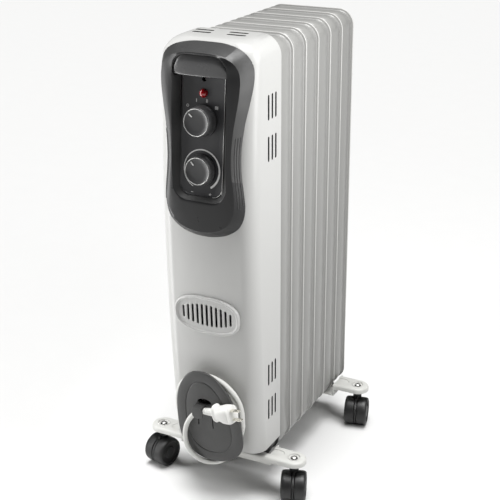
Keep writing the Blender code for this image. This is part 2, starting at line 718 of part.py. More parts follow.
def build_plug(mats):
    """The moulded mains plug that hangs off the clip, with two flat blades and a round pin."""
    start = Vector(storage_point(*PLUG_START))
    end = Vector(storage_point(*PLUG_END))
    along = (end - start).normalized()
    across = along.cross(Vector((0.0, -1.0, 0.0))).normalized()
    basis = Matrix((across.cross(along), along, across)).transposed()
    length = (end - start).length

    def rounded(half_a, half_b, height):
        ring = superellipse(half_a, half_b, 0.0, 16, 3.0)
        return [(a, height, b) for a, b in ring]

    rings = [rounded(0.0046, 0.0046, 0.0), rounded(0.0058, 0.0058, 0.0175), rounded(0.0085, 0.0110, 0.0190),
             rounded(0.0090, 0.0122, 0.0215), rounded(0.0095, 0.0100, 0.0250),
             rounded(0.0110, 0.0120, length - 0.0060), rounded(0.0110, 0.0120, length)]
    add_object("plug_body", moved(loft(rings), start, basis), mats["plug"])
    for name, side in (("plug_blade_left", -1.0), ("plug_blade_right", 1.0)):
        blade = box((0.0, length + GAP + 0.0075, side * 0.00635), (0.0062, 0.0150, 0.0016))
        add_object(name, moved(blade, start, basis), mats["chrome"])


# ---------------------------------------------------------------- feet and casters

def stadium(half_length, half_width, segments=6):
    """Points of a bar with round ends in the XY plane."""
    points = []
    straight = half_length - half_width
    for centre, start in ((straight, -90.0), (-straight, 90.0)):
        for k in range(segments + 1):
            angle = math.radians(start + 180.0 * k / segments)
            points.append((centre + half_width * math.cos(angle), half_width * math.sin(angle)))
    return points


def foot_slab(half_length, half_width, z_low, z_high):
    points = stadium(half_length, half_width)
    return loft([[(x, y, z) for x, y in points] for z in (z_low, z_high)])


def build_foot(name, centre_y, seat_y, wall, bolt_y, mats):
    """A pressed bar with round ends, whose middle drops to a seat that the fins stand on."""
    half_length = CASTER_X + FOOT_HALF_WIDTH
    bottom = FOOT_TOP_Z - FOOT_SKIRT
    bar = add_object(name, foot_slab(half_length, FOOT_HALF_WIDTH, bottom, FOOT_TOP_Z), mats["foot"])
    cut(bar, foot_slab(half_length - FOOT_SHEET, FOOT_HALF_WIDTH - FOOT_SHEET, bottom - 0.010,
                       FOOT_TOP_Z - FOOT_SHEET))
    low, high = (y - centre_y for y in seat_y)
    gap_low = low + FOOT_SHEET if wall else -0.030
    cut(bar, box((0.0, (gap_low + 0.040) / 2.0, FOOT_TOP_Z), (2.0 * SEAT_HALF_X, 0.040 - gap_low, 0.030)))
    seat_low = SEAT_TOP_Z - FOOT_SHEET
    wide = 2.0 * (SEAT_HALF_X + FOOT_SHEET)
    parts = [box((0.0, (low + high) / 2.0, SEAT_TOP_Z - FOOT_SHEET / 2.0), (wide, high - low, FOOT_SHEET))]
    for side in (-1.0, 1.0):
        x = side * (SEAT_HALF_X + FOOT_SHEET / 2.0)
        top = FOOT_TOP_Z - FOOT_SHEET * 0.4
        parts.append(box((x, (low + high) / 2.0, (seat_low + top) / 2.0),
                         (FOOT_SHEET, high - low, top - seat_low)))
    if wall:
        top = FOOT_TOP_Z - FOOT_SHEET * 0.4
        parts.append(box((0.0, low + FOOT_SHEET / 2.0, (seat_low + top) / 2.0),
                         (wide, FOOT_SHEET, top - seat_low)))
    for side in (-1.0, 1.0):
        collar = ring_solid(STEM_RADIUS + 0.0004, 0.0085, -0.0012, FOOT_SHEET + 0.0030, 12)
        parts.append(moved(collar, (side * CASTER_X, 0.0, FOOT_TOP_Z), Matrix.Rotation(-math.pi / 2, 3, "X")))
    fuse(bar, *parts)
    holes = []
    for side in (-1.0, 1.0):
        hole = turned([(STEM_RADIUS + 0.0005, -0.020), (STEM_RADIUS + 0.0005, 0.020)], 12)
        holes.append(moved(hole, (side * CASTER_X, 0.0, FOOT_TOP_Z), Matrix.Rotation(-math.pi / 2, 3, "X")))
        bolt = turned([(0.0031, -0.010), (0.0031, 0.010)], 10)
        holes.append(moved(bolt, (side * UBOLT_HALF, bolt_y - centre_y, SEAT_TOP_Z),
                           Matrix.Rotation(-math.pi / 2, 3, "X")))
    cut(bar, *holes)
    bar.location = (0.0, centre_y, 0.0)
    return bar


def build_clamps(mats):
    for end, y in (("front", UBOLT_Y[0]), ("rear", UBOLT_Y[1])):
        route = [(-UBOLT_HALF, y, UBOLT_BOTTOM_Z)]
        for k in range(9):
            angle = math.radians(180.0 - 180.0 * k / 8.0)
            route.append((UBOLT_HALF * math.cos(angle), y, COLLAR_Z[0] + UBOLT_HALF * math.sin(angle)))
        route.append((UBOLT_HALF, y, UBOLT_BOTTOM_Z))
        build_tube(f"{end}_u_bolt", route, UBOLT_RADIUS, mats["zinc"], 1)
        for side, label in ((-1.0, "left"), (1.0, "right")):
            top = SEAT_TOP_Z - FOOT_SHEET - GAP
            boss = moved(turned([(0.0060, 0.0), (0.0050, -0.0045)], 12), rotation=QUARTER_TURN)
            nut = add_object(f"{end}_wing_nut_{label}", boss, mats["zinc"])
            fuse(nut, box((0.0, 0.0, -0.0032), (0.0240, 0.0026, 0.0040)))
            cut(nut, moved(turned([(0.0029, -0.010), (0.0029, 0.010)], 10), rotation=QUARTER_TURN))
            nut.location = (side * UBOLT_HALF, y, top)


def build_caster(key, x, y, mats):
    """Twin wheel caster: a web with a stem, an axle and two wheels."""
    heading = math.radians(CASTER_HEADINGS[key])
    turn = Matrix.Rotation(heading, 3, "Z")
    centre = Vector((x, y, 0.0)) + turn @ Vector((0.0, -TRAIL, WHEEL_RADIUS))
    pivot = Vector((x, y, 0.0))

    web = turned([(0.0165, -WEB_HALF), (0.0165, WEB_HALF)], 20)
    moved(web, (0.0, -TRAIL, WHEEL_RADIUS), Matrix.Rotation(math.pi / 2, 3, "Z"))
    housing = add_object(f"{key}_caster_housing", web, mats["caster"])
    neck = moved(turned([(0.0062, 0.0440), (0.0062, 0.0520), (STEM_RADIUS + 0.0010, 0.0535),
                         (STEM_RADIUS + 0.0010, FOOT_TOP_Z - FOOT_SHEET - 0.0037),
                         (STEM_RADIUS, FOOT_TOP_Z - FOOT_SHEET - 0.0037),
                         (STEM_RADIUS, FOOT_TOP_Z + 0.0005)], 12), rotation=QUARTER_TURN)
    bridge = box((0.0, -TRAIL * 0.5, 0.0400), (2.0 * WEB_HALF, 0.0180, 0.0120))
    fuse(housing, bridge, neck)
    cut(housing, moved(turned([(AXLE_RADIUS + 0.0001, -0.010), (AXLE_RADIUS + 0.0001, 0.010)], 12),
                       (0.0, -TRAIL, WHEEL_RADIUS), Matrix.Rotation(math.pi / 2, 3, "Z")))
    place(housing, pivot, 0.0, heading)

    axle = turned([(AXLE_RADIUS, -0.0125), (AXLE_RADIUS, 0.0125)], 12)
    moved(axle, rotation=Matrix.Rotation(math.pi / 2, 3, "Z"))
    place(add_object(f"{key}_axle", axle, mats["steel"]), centre, 0.0, heading)

    sideways = Matrix.Rotation(-math.pi / 2, 3, "Z")
    for label, side in (("left", -1.0), ("right", 1.0)):
        inner = WEB_HALF + 0.0004
        outer = inner + WHEEL_WIDTH
        rim = WHEEL_RADIUS / math.cos(math.pi / WHEEL_FACETS)
        profile = [(rim * 0.93, inner), (rim, inner + 0.0010), (rim, outer - 0.0060),
                   (rim * 0.975, outer - 0.0025), (rim * 0.90, outer), (rim * 0.78, outer),
                   (rim * 0.74, outer - 0.0030)]
        wheel = turned([(r, side * h) for r, h in profile], WHEEL_FACETS,
                       math.pi / 2 + math.pi / WHEEL_FACETS)
        moved(wheel, rotation=sideways)
        wheel = add_object(f"{key}_wheel_{label}", wheel, mats["tyre"])
        bore_radius = AXLE_RADIUS + 0.00016
        bore = turned([(bore_radius, side * (inner - 0.002)), (bore_radius, side * 0.0128)], 12)
        cut(wheel, moved(bore, rotation=sideways))
        place(wheel, centre, 0.0, heading)


def build_running_gear(mats):
    front_y, rear_y = FOOT_CENTRES_Y
    front_seat = (fin_rear_y(0) - FIN_DEPTH - 0.0021, -0.0800)
    rear_seat = (0.1130, 0.1500)
    build_foot("front_foot", front_y, front_seat, True, UBOLT_Y[0], mats)
    build_foot("rear_foot", rear_y, rear_seat, False, UBOLT_Y[1], mats)
    build_clamps(mats)
    for end, y in (("front", front_y), ("rear", rear_y)):
        for label, x in (("left", -CASTER_X), ("right", CASTER_X)):
            build_caster(f"{end}_{label}", x, y, mats)


def main():
    clear_scene()
    mats = {
        "white": material("white_enamel", (0.78, 0.78, 0.76), 0.35),
        "fin": material("fin_enamel", (0.60, 0.59, 0.56), 0.40),
        "charcoal": material("charcoal_plastic", (0.060, 0.060, 0.060), 0.45),
        "gloss": material("gloss_plastic", (0.045, 0.045, 0.047), 0.15),
        "panel": material("panel_plastic", (0.045, 0.045, 0.047), 0.35),
        "knob": material("knob_plastic", (0.055, 0.055, 0.056), 0.35),
        "disc": material("disc_plastic", (0.075, 0.075, 0.075), 0.50),
        "bakelite": material("bakelite", (0.030, 0.028, 0.026), 0.55),
        "lens": material("red_lens", (0.45, 0.010, 0.012), 0.15),
        "steel": material("plain_steel", (0.50, 0.50, 0.50), 0.35, 1.0),
        "zinc": material("zinc_steel", (0.62, 0.62, 0.60), 0.40, 1.0),
        "foot": material("foot_enamel", (0.66, 0.66, 0.63), 0.38),
        "caster": material("caster_nylon", (0.020, 0.020, 0.020), 0.45),
        "tyre": material("wheel_nylon", (0.022, 0.022, 0.022), 0.42),
        "cord": material("cord_jacket", (0.70, 0.70, 0.67), 0.50),
        "plug": material("plug_vinyl", (0.80, 0.80, 0.77), 0.42),
        "chrome": material("blade_metal", (0.75, 0.72, 0.62), 0.25, 1.0),
    }
    build_radiator(mats)
    build_cover(mats)
    build_bezel(mats)
    build_hood(mats)
    build_controls(mats)
    build_inside(mats)
    build_louvre(mats)
    build_storage(mats)
    build_running_gear(mats)
    for obj in bpy.data.objects:
        obj.location.y += FRAME_SHIFT_Y


main()
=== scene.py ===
"""Looks of the oil filled radiator heater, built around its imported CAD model.

Lengths are metres, +Z is up and the control panel faces -Y. Shapes are drawn in the building frame of
the CAD part, and settle() moves each one to the shared frame as it joins its body.
"""

import math

import bmesh
import bpy
from mathutils import Matrix, Vector


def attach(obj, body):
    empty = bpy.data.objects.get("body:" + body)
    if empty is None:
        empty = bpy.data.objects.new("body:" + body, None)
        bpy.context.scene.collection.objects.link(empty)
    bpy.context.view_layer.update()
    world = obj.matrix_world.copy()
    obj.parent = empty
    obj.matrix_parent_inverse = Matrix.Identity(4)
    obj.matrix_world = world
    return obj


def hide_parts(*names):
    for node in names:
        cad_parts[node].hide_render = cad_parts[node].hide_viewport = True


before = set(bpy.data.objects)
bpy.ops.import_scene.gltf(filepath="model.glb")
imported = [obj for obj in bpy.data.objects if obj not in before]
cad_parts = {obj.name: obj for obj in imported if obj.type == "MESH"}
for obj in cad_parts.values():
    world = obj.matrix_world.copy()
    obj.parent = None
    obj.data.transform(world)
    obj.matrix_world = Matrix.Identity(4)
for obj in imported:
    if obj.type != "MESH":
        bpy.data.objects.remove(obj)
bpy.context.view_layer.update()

GAP = 0.0003
FRAME_SHIFT_Y = 0.00162
BODY = "heater_body"
SHARP_ANGLE = math.radians(32.0)

# radiator fins
FIN_COUNT = 7
FIN_PITCH = 0.03964
FIN_REAR_Y = 0.1673
FIN_DEPTH = 0.034
FIN_HALF_WIDTH = 0.0665
FIN_Z = (0.0463, 0.630)
FIN_CORNER = 0.022
FIN_SHEET = 0.0012
FIN_WEB = 0.0018
FIN_EDGE_ROUND = 0.0045
COLLAR_Z = (0.088, 0.586)
COLLAR_RADIUS = 0.020

# front cover
COVER_HALF_WIDTH = 0.0684
COVER_SHEET = 0.0014
COVER_REAR_Y = -0.0705
COVER_BOTTOM_Z = 0.072
COVER_TOP_Z = 0.636
COVER_CORNER = 0.021
COVER_TOP_ROUND = 0.027
COVER_FRONT_Y = -0.1495
COVER_BOW_Z = 0.405
COVER_BOW_UPPER = 0.20
COVER_BOW_LOWER = 0.16
COVER_CROWN = 0.0022
SIDE_VENT_Y = (-0.1060, -0.0957, -0.0859)
SIDE_VENT_ROWS = ((0.5365, 0.5685), (0.4835, 0.5160), (0.1690, 0.2005), (0.1170, 0.1475))
VENT_HALF = (0.0021, 0.0029)       # half width of the side and of the top slots
TOP_VENT_HALF_LENGTH = 0.01325
TOP_VENTS = ((-0.0275, -0.0985), (-0.0310, -0.0840), (0.0210, -0.0985), (0.0170, -0.0840))

# oval grille
LOUVRE_Z = 0.2770
LOUVRE_HALF = (0.0480, 0.0270)
LOUVRE_COUNT = 11
LOUVRE_PITCH = 0.0070
LOUVRE_SLOT = 0.0034

# control housing
PLATE_TILT = math.atan(0.10)
PLATE_REF = (-0.1430, 0.590)
PLATE_HALF_X = 0.0305
PLATE_Z = (0.4440, 0.6030)
PLATE_CORNER = 0.0137
BEZEL_OUTLINE = (
    (0.0000, 0.6330), (0.0200, 0.6325), (0.0380, 0.6295), (0.0520, 0.6240), (0.0610, 0.6150),
    (0.0645, 0.6030), (0.0640, 0.5850), (0.0605, 0.5620), (0.0560, 0.5380), (0.0530, 0.5150),
    (0.0520, 0.4950), (0.0530, 0.4720), (0.0555, 0.4520), (0.0570, 0.4340), (0.0550, 0.4180),
    (0.0480, 0.4050), (0.0340, 0.3950), (0.0170, 0.3900), (0.0000, 0.3885))
BEZEL_CENTRE_Z = 0.525
HOUSING_MIDDLE_Z = 0.51075
HOUSING_HALF_X = 0.0645
HOUSING_HALF_Z = 0.12225
FRAME_INSET = 0.0101               # from the housing's outline to the edge of its raised frame
FRAME_RISE = 0.0101                # how far that edge stands before the cover's middle line
FRAME_CROWN = 0.0035
BOW_END_Z = 0.600                  # the frame stops leaning back above this height
FIRST_FRAME_ROW = 10               # rows of faces, from the foot of the slope to the panel
FIRST_WALL_ROW = 17
WINDOW_HALF_WIDTH = 0.0375
WINDOW_Z = (0.439, 0.622)
HOOD_BOTTOM_Z = 0.5932
WINDOW_ROUND = 0.020
KNOB_RADIUS = 0.0187
KNOB_FRONT_Y = -0.1667
SELECTOR_Z = 0.5385
THERMOSTAT_Z = 0.4775
LAMP_Z = 0.5720
PEEP_Z = 0.5890

# cord storage
STORAGE_X = 0.0020
STORAGE_Z = 0.130
STORAGE_TILT = math.radians(5.0)
OVAL_UP = 0.0030
OVAL_HALF = 0.0100
DISC_BACK = 0.0151
DISC_FACE = 0.0191
DISC_TURN = math.radians(7.0)
DISC_OUTLINE = (
    (0.0000, 0.0715), (0.0100, 0.0705), (0.0190, 0.0660), (0.0265, 0.0590), (0.0345, 0.0480),
    (0.0405, 0.0350), (0.0450, 0.0190), (0.0478, 0.0000), (0.0492, -0.0180), (0.0478, -0.0360),
    (0.0415, -0.0505), (0.0295, -0.0620), (0.0150, -0.0678), (0.0000, -0.0695))
CORD_RADIUS = 0.0034
COIL_CELLS = (                    # radius and out of each layer of turns, in winding order
    (0.0283, 0.0041), (0.0283, 0.0110), (0.0354, 0.0110), (0.0354, 0.0041), (0.0425, 0.0041),
    (0.0425, 0.0110), (0.0496, 0.0110))
COIL_MEAN = 0.0354
TAIL_ROUTE = (
    (0.0347, -0.0451, 0.0110), (0.0273, -0.0570, 0.0110), (0.0175, -0.0678, 0.0120),
    (0.0035, -0.0742, 0.0150), (-0.0115, -0.0730, 0.0195), (-0.0235, -0.0638, 0.0233),
    (-0.0315, -0.0510, 0.0250), (-0.0340, -0.0365, 0.0252), (-0.0325, -0.0220, 0.0248),
    (-0.0275, -0.0085, 0.0242), (-0.0195, 0.0030, 0.0237), (-0.0090, 0.0105, 0.0236),
    (0.0005, 0.0142, 0.0239))
PLUG_START = (0.0016, 0.0148, 0.0241)
PLUG_END = (0.0480, 0.0285, 0.0345)
GLAND_BASE = (-0.0283, -0.0132, -0.0060)
GLAND_TIP = (-0.0283, 0.0130, 0.0037)

# feet and casters
FOOT_CENTRES_Y = (-0.1003, 0.1310)
FOOT_HALF_WIDTH = 0.0170
CASTER_X = 0.1045
FOOT_TOP_Z = 0.0630
FOOT_SHEET = 0.0018
FOOT_SKIRT = 0.0075
SEAT_TOP_Z = FIN_Z[0] - GAP
SEAT_HALF_X = 0.0700
STEM_RADIUS = 0.0046
WHEEL_RADIUS = 0.0213
WHEEL_WIDTH = 0.0150
WEB_HALF = 0.0017
TRAIL = 0.0050
UBOLT_HALF = 0.0230
UBOLT_Y = (-0.0860, 0.1205)
CASTER_HEADINGS = {"front_left": -12.6, "front_right": 20.5, "rear_left": -20.5, "rear_right": 13.8}

# turns that carry +Y to another axis
Y_TO_UP = Matrix.Rotation(math.pi / 2, 3, "X")
Y_TO_DOWN = Matrix.Rotation(-math.pi / 2, 3, "X")
Y_TO_RIGHT = Matrix.Rotation(-math.pi / 2, 3, "Z")
PLATE_TURN = Matrix.Rotation(-PLATE_TILT, 3, "X")

# camera
CAMERA_PLACE = (0.65431, -1.28741, 0.89183)
CAMERA_YAW = math.radians(-27.39)
CAMERA_PITCH = math.radians(21.73)
CAMERA_ROLL = math.radians(-0.41)
CAMERA_LENS = 79.73


# ---------------------------------------------------------------- camera and light

def build_camera():
    yaw, pitch, roll = CAMERA_YAW, CAMERA_PITCH, CAMERA_ROLL
    forward = Vector((math.sin(yaw) * math.cos(pitch), math.cos(yaw) * math.cos(pitch), -math.sin(pitch)))
    level = Vector((math.cos(yaw), -math.sin(yaw), 0.0))
    upright = level.cross(forward)
    right = math.cos(roll) * level + math.sin(roll) * upright
    up = math.cos(roll) * upright - math.sin(roll) * level
    data = bpy.data.cameras.new("camera")
    data.lens = CAMERA_LENS
    data.sensor_width = 36.0
    data.clip_end = 60.0
    camera = bpy.data.objects.new("camera", data)
    bpy.context.scene.collection.objects.link(camera)
    facing = Matrix((right, up, -forward)).transposed().to_4x4()
    camera.matrix_world = Matrix.Translation(CAMERA_PLACE) @ facing
    bpy.context.scene.camera = camera


def area_light(name, place, aim, size, watts):
    data = bpy.data.lights.new(name, "AREA")
    data.shape = "RECTANGLE"
    data.size, data.size_y = size
    data.energy = watts
    light = bpy.data.objects.new(name, data)
    bpy.context.scene.collection.objects.link(light)
    light.location = place
    light.visible_camera = False
    light.rotation_euler = (Vector(aim) - Vector(place)).to_track_quat("-Z", "Y").to_euler()


def build_studio():
    world = bpy.data.worlds.new("studio")
    bpy.context.scene.world = world
    world.use_nodes = True
    background = world.node_tree.nodes["Background"]
    background.inputs["Color"].default_value = (1.0, 1.0, 1.0, 1.0)
    # the backdrop is seen pale, and gives next to no light of its own
    nodes, links = world.node_tree.nodes, world.node_tree.links
    paths, level = nodes.new("ShaderNodeLightPath"), nodes.new("ShaderNodeMapRange")
    level.inputs["To Min"].default_value = 0.01
    level.inputs["To Max"].default_value = 0.90
    links.new(paths.outputs["Is Camera Ray"], level.inputs["Value"])
    links.new(level.outputs["Result"], background.inputs["Strength"])
    sun = bpy.data.lights.new("overhead", "SUN")
    sun.energy = 4.10
    sun.angle = math.radians(36.0)
    overhead = bpy.data.objects.new("overhead", sun)
    bpy.context.scene.collection.objects.link(overhead)
    area_light("left_strip", (-0.21, -0.230, 0.45), (0.0, -0.15, 0.42), (0.07, 0.85), 1.15)
    area_light("right_strip", (0.42, -0.10, 0.66), (0.07, -0.05, 0.50), (0.22, 0.70), 2.6)
    bpy.context.scene.view_settings.view_transform = "Standard"

    bm = bmesh.new()
    bmesh.ops.create_grid(bm, x_segments=8, y_segments=8, size=9.0)
    floor = new_object("floor", bm)
    floor.data.materials.append(surface("studio_floor", (0.745, 0.745, 0.74), 0.75, grain=90.0, relief=0.02,
                                        mottling=0.01))


# ---------------------------------------------------------------- materials

def surface(name, colour, roughness, metallic=0.0, grain=900.0, relief=0.10, mottling=0.05, spread=0.06,
            broad=18.0, coat=0.0, shine=0.5):
    """A finish with a fine relief, and a slow drift of tone and of shine."""
    mat = bpy.data.materials.new(name)
    mat.use_nodes = True
    nodes, links = mat.node_tree.nodes, mat.node_tree.links
    shader = nodes["Principled BSDF"]
    shader.inputs["Metallic"].default_value = metallic
    shader.inputs["Coat Weight"].default_value = coat
    shader.inputs["Specular IOR Level"].default_value = shine
    shader.inputs["Coat Roughness"].default_value = 0.12
    coords = nodes.new("ShaderNodeTexCoord")

    def noise(scale, detail):
        node = nodes.new("ShaderNodeTexNoise")
        node.inputs["Scale"].default_value = scale
        node.inputs["Detail"].default_value = detail
        links.new(coords.outputs["Object"], node.inputs["Vector"])
        return node.outputs["Fac"]

    drift = noise(broad, 4.0)
    tone = nodes.new("ShaderNodeMix")
    tone.data_type = "RGBA"
    tone.inputs[6].default_value = (*(c * (1.0 - mottling) for c in colour), 1.0)
    tone.inputs[7].default_value = (*(min(1.0, c * (1.0 + mottling)) for c in colour), 1.0)
    links.new(drift, tone.inputs[0])
    links.new(tone.outputs[2], shader.inputs["Base Color"])

    polish = nodes.new("ShaderNodeMapRange")
    polish.inputs["From Min"].default_value = 0.30
    polish.inputs["From Max"].default_value = 0.70
    polish.inputs["To Min"].default_value = max(0.02, roughness - spread)
    polish.inputs["To Max"].default_value = min(1.0, roughness + spread)
    links.new(noise(broad * 4.0, 5.0), polish.inputs["Value"])
    links.new(polish.outputs["Result"], shader.inputs["Roughness"])

    bump = nodes.new("ShaderNodeBump")
    bump.inputs["Strength"].default_value = relief
    bump.inputs["Distance"].default_value = 0.0004
    links.new(noise(grain, 3.0), bump.inputs["Height"])
    links.new(bump.outputs["Normal"], shader.inputs["Normal"])
    return mat


def build_materials():
    return {
        "white_enamel": surface("white_enamel_paint", (0.495, 0.495, 0.484), 0.34, grain=700.0, relief=0.10,
                                mottling=0.012, spread=0.03),
        # Dark primer for the cover's inner faces. The same dark finish is painted shade on the vent slot
        # walls and over the whole first fin, which sits in the cover's shadow.
        "primer_and_painted_shade": surface("primer_and_painted_shade_paint", (0.035, 0.035, 0.035), 0.60, grain=700.0, relief=0.15),
        "fin_enamel": surface("fin_enamel_paint", (0.28, 0.279, 0.270), 0.34, grain=400.0, relief=0.03,
                              mottling=0.012, spread=0.03),
        # Much lighter paint for the fins' rolled rear edges: a painted highlight of the edge catching the
        # light.
        "fin_hem_highlight": surface("fin_hem_highlight_paint", (0.60, 0.597, 0.578), 0.30, grain=400.0, relief=0.03,
                           mottling=0.02, spread=0.03),
        "charcoal_plastic": surface("charcoal_moulding", (0.037, 0.037, 0.0365), 0.42, grain=2200.0,
                                    relief=0.20),
        # Dark textured inlay at the top of the housing; the same darker finish on the window's walls is
        # painted shade of the recess.
        "inlay_and_recess_shade": surface("inlay_and_recess_shade_finish", (0.022, 0.022, 0.022), 0.62, grain=1500.0, relief=0.60),
        "gloss_plastic": surface("gloss_moulding", (0.016, 0.016, 0.0165), 0.30, grain=500.0, relief=0.02,
                                 spread=0.03, coat=0.1, shine=0.3),
        "chin": surface("chin_moulding", (0.019, 0.019, 0.0195), 0.40, grain=1600.0, relief=0.10, spread=0.04,
                        shine=0.32),
        "hood": surface("hood_moulding", (0.046, 0.046, 0.047), 0.26, grain=500.0, relief=0.02, spread=0.03,
                        coat=0.5),
        "panel_plastic": surface("panel_moulding", (0.030, 0.030, 0.032), 0.36, grain=2400.0, relief=0.12),
        "knob_plastic": surface("knob_moulding", (0.045, 0.045, 0.046), 0.33, grain=2200.0, relief=0.10),
        "disc_plastic": surface("disc_moulding", (0.051, 0.051, 0.050), 0.48, grain=1800.0, relief=0.28),
        "bakelite": surface("bakelite_moulding", (0.030, 0.028, 0.026), 0.50, grain=1400.0, relief=0.15),
        "red_lens": surface("lamp_lens", (0.36, 0.004, 0.008), 0.10, grain=300.0, relief=0.01, spread=0.03,
                            mottling=0.10, coat=1.0),
        "plain_steel": surface("turned_steel", (0.48, 0.48, 0.48), 0.34, 1.0, grain=1800.0, relief=0.15),
        "zinc_steel": surface("zinc_plated_steel", (0.60, 0.60, 0.58), 0.40, 1.0, grain=260.0, relief=0.12,
                              mottling=0.14, broad=60.0),
        "foot_enamel": surface("foot_enamel_paint", (0.60, 0.60, 0.575), 0.36, grain=700.0, relief=0.12,
                               mottling=0.02, spread=0.03),
        "caster_nylon": surface("caster_moulding", (0.010, 0.010, 0.010), 0.48, grain=1600.0, relief=0.20),
        "wheel_nylon": surface("wheel_moulding", (0.011, 0.011, 0.011), 0.46, grain=1600.0, relief=0.25,
                               mottling=0.20),
        "cord_jacket": surface("cord_vinyl", (0.66, 0.66, 0.635), 0.42, grain=1500.0, relief=0.10,
                               mottling=0.03),
        "plug_vinyl": surface("plug_moulding", (0.74, 0.74, 0.715), 0.40, grain=1300.0, relief=0.10,
                              mottling=0.03),
        "blade_metal": surface("plated_brass", (0.72, 0.70, 0.63), 0.24, 1.0, grain=1200.0, relief=0.06,
                               mottling=0.10),
        "print": surface("printed_mark", (0.62, 0.62, 0.61), 0.45, grain=1200.0, relief=0.05),
        # Bright metal for the knob rings; on the control plate's right edge the same finish is a painted
        # highlight.
        "bright": surface("silver_ring_and_painted_highlight", (0.46, 0.46, 0.45), 0.34, 1.0, grain=900.0, relief=0.03),
    }


# ---------------------------------------------------------------- mesh tools

def new_object(name, bm):
    """Turn a bmesh into a named object whose round faces shade smooth."""
    bmesh.ops.recalc_face_normals(bm, faces=bm.faces)
    mesh = bpy.data.meshes.new(name)
    bm.to_mesh(mesh)
    bm.free()
    obj = bpy.data.objects.new(name, mesh)
    bpy.context.scene.collection.objects.link(obj)
    mesh.shade_smooth()
    mesh.set_sharp_from_angle(angle=SHARP_ANGLE)
    return obj


def settle(obj, slot, *nodes, body=BODY, finish=None):
    """Give a piece its finish, move it to the shared frame and join it to its body."""
    if obj.type == "MESH":
        obj.data.transform(Matrix.Translation((0.0, FRAME_SHIFT_Y, 0.0)) @ obj.matrix_basis)
        obj.matrix_basis = Matrix.Identity(4)
    if not obj.data.materials:
        obj.data.materials.append(MATS[finish or slot])
    if nodes:
        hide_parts(*nodes)
    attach(obj, body)
    return obj


def loft(rings, closed=False):
    """A surface through rings of equal point count, capped at both ends, or led back to the first."""
    bm = bmesh.new()
    rows = [[bm.verts.new(point) for point in ring] for ring in rings]
    count = len(rows[0])
    pairs = list(zip(rows, rows[1:]))
    if closed:
        pairs.append((rows[-1], rows[0]))
    for low, high in pairs:
        for i in range(count):
            j = (i + 1) % count
            bm.faces.new((low[i], low[j], high[j], high[i]))
    if not closed:
        bm.faces.new(list(reversed(rows[0])))
        bm.faces.new(rows[-1])
    return bm


def joined(parts):
    """One bmesh that holds the parts side by side."""
    result = bmesh.new()
    for bm in parts:
        mesh = bpy.data.meshes.new("part")
        bm.to_mesh(mesh)
        bm.free()
        result.from_mesh(mesh)
        bpy.data.meshes.remove(mesh)
    return result


def moved(bm, location=(0.0, 0.0, 0.0), rotation=None):
    matrix = Matrix.Translation(location)
    if rotation is not None:
        matrix = matrix @ rotation.to_4x4()
    bmesh.ops.transform(bm, matrix=matrix, verts=bm.verts)
    return bm


def rounded_rect(half_x, z_low, z_high, radius, segments=10):
    """Points of a rounded rectangle in the XZ plane."""
    points = []
    corners = ((half_x - radius, z_high - radius, 0.0), (-half_x + radius, z_high - radius, 90.0),
               (-half_x + radius, z_low + radius, 180.0), (half_x - radius, z_low + radius, 270.0))
    for cx, cz, start in corners:
        for k in range(segments + 1):
            angle = math.radians(start + 90.0 * k / segments)
            points.append((cx + radius * math.cos(angle), cz + radius * math.sin(angle)))
    return points


def slab(points, y_low, y_high):
    """Extrude an XZ outline along Y."""
    return loft([[(x, y, z) for x, z in points] for y in (y_low, y_high)])


def box(centre, size):
    bm = bmesh.new()
    bmesh.ops.create_cube(bm, size=1.0, matrix=Matrix.Translation(centre) @ Matrix.Diagonal((*size, 1.0)))
    return bm


def turned(profile, segments=64, ripple=None):
    """Turn (radius, height) points about +Y. A ripple takes the angle and the row, and scales the radius."""
    rings = []
    for row, (radius, height) in enumerate(profile):
        ring = []
        for k in range(segments):
            angle = math.tau * k / segments
            r = radius * (ripple(angle, row) if ripple else 1.0)
            ring.append((r * math.cos(angle), height, r * math.sin(angle)))
        rings.append(ring)
    return loft(rings)


def circle(radius, y, count, centre_z=0.0):
    """Points of a circle round the Y axis."""
    angles = [math.tau * k / count for k in range(count)]
    return [(radius * math.cos(a), y, centre_z + radius * math.sin(a)) for a in angles]


def superellipse(half_x, half_z, centre_z, count, power=2.6):
    points = []
    for k in range(count):
        angle = math.tau * k / count
        c, s = math.cos(angle), math.sin(angle)
        x = math.copysign(abs(c) ** (2.0 / power), c) * half_x
        z = math.copysign(abs(s) ** (2.0 / power), s) * half_z
        points.append((x, centre_z + z))
    return points


def slot_outline(x, z, half_x, half_z, segments=8):
    """A slot with round ends in the XZ plane."""
    radius = min(half_x, half_z)
    outline = rounded_rect(half_x, -half_z, half_z, radius * 0.999, segments)
    return [(x + px, z + pz) for px, pz in outline]


def smooth_line(points, step, closed=False):
    """Points at even steps along a smooth curve through the given points."""
    knots = [Vector(p) for p in points]
    if closed:
        ends = [knots[-1]] + knots + knots[:2]
    else:
        ends = [2.0 * knots[0] - knots[1]] + knots + [2.0 * knots[-1] - knots[-2]]
    fine = []
    for p0, p1, p2, p3 in zip(ends, ends[1:], ends[2:], ends[3:]):
        for k in range(24):
            t = k / 24.0
            fine.append(0.5 * (2.0 * p1 + (p2 - p0) * t + (2.0 * p0 - 5.0 * p1 + 4.0 * p2 - p3) * t * t
                               + (3.0 * p1 - p0 - 3.0 * p2 + p3) * t ** 3))
    fine.append(ends[-2].copy())
    total = sum((b - a).length for a, b in zip(fine, fine[1:]))
    count = max(2, round(total / step))
    spacing = total / count
    result = [fine[0]]
    run = 0.0
    for a, b in zip(fine, fine[1:]):
        length = (b - a).length
        while length > 0.0 and run + length >= spacing * len(result) and len(result) < count:
            result.append(a.lerp(b, (spacing * len(result) - run) / length))
        run += length
    if not closed:
        result.append(fine[-1])
    return result


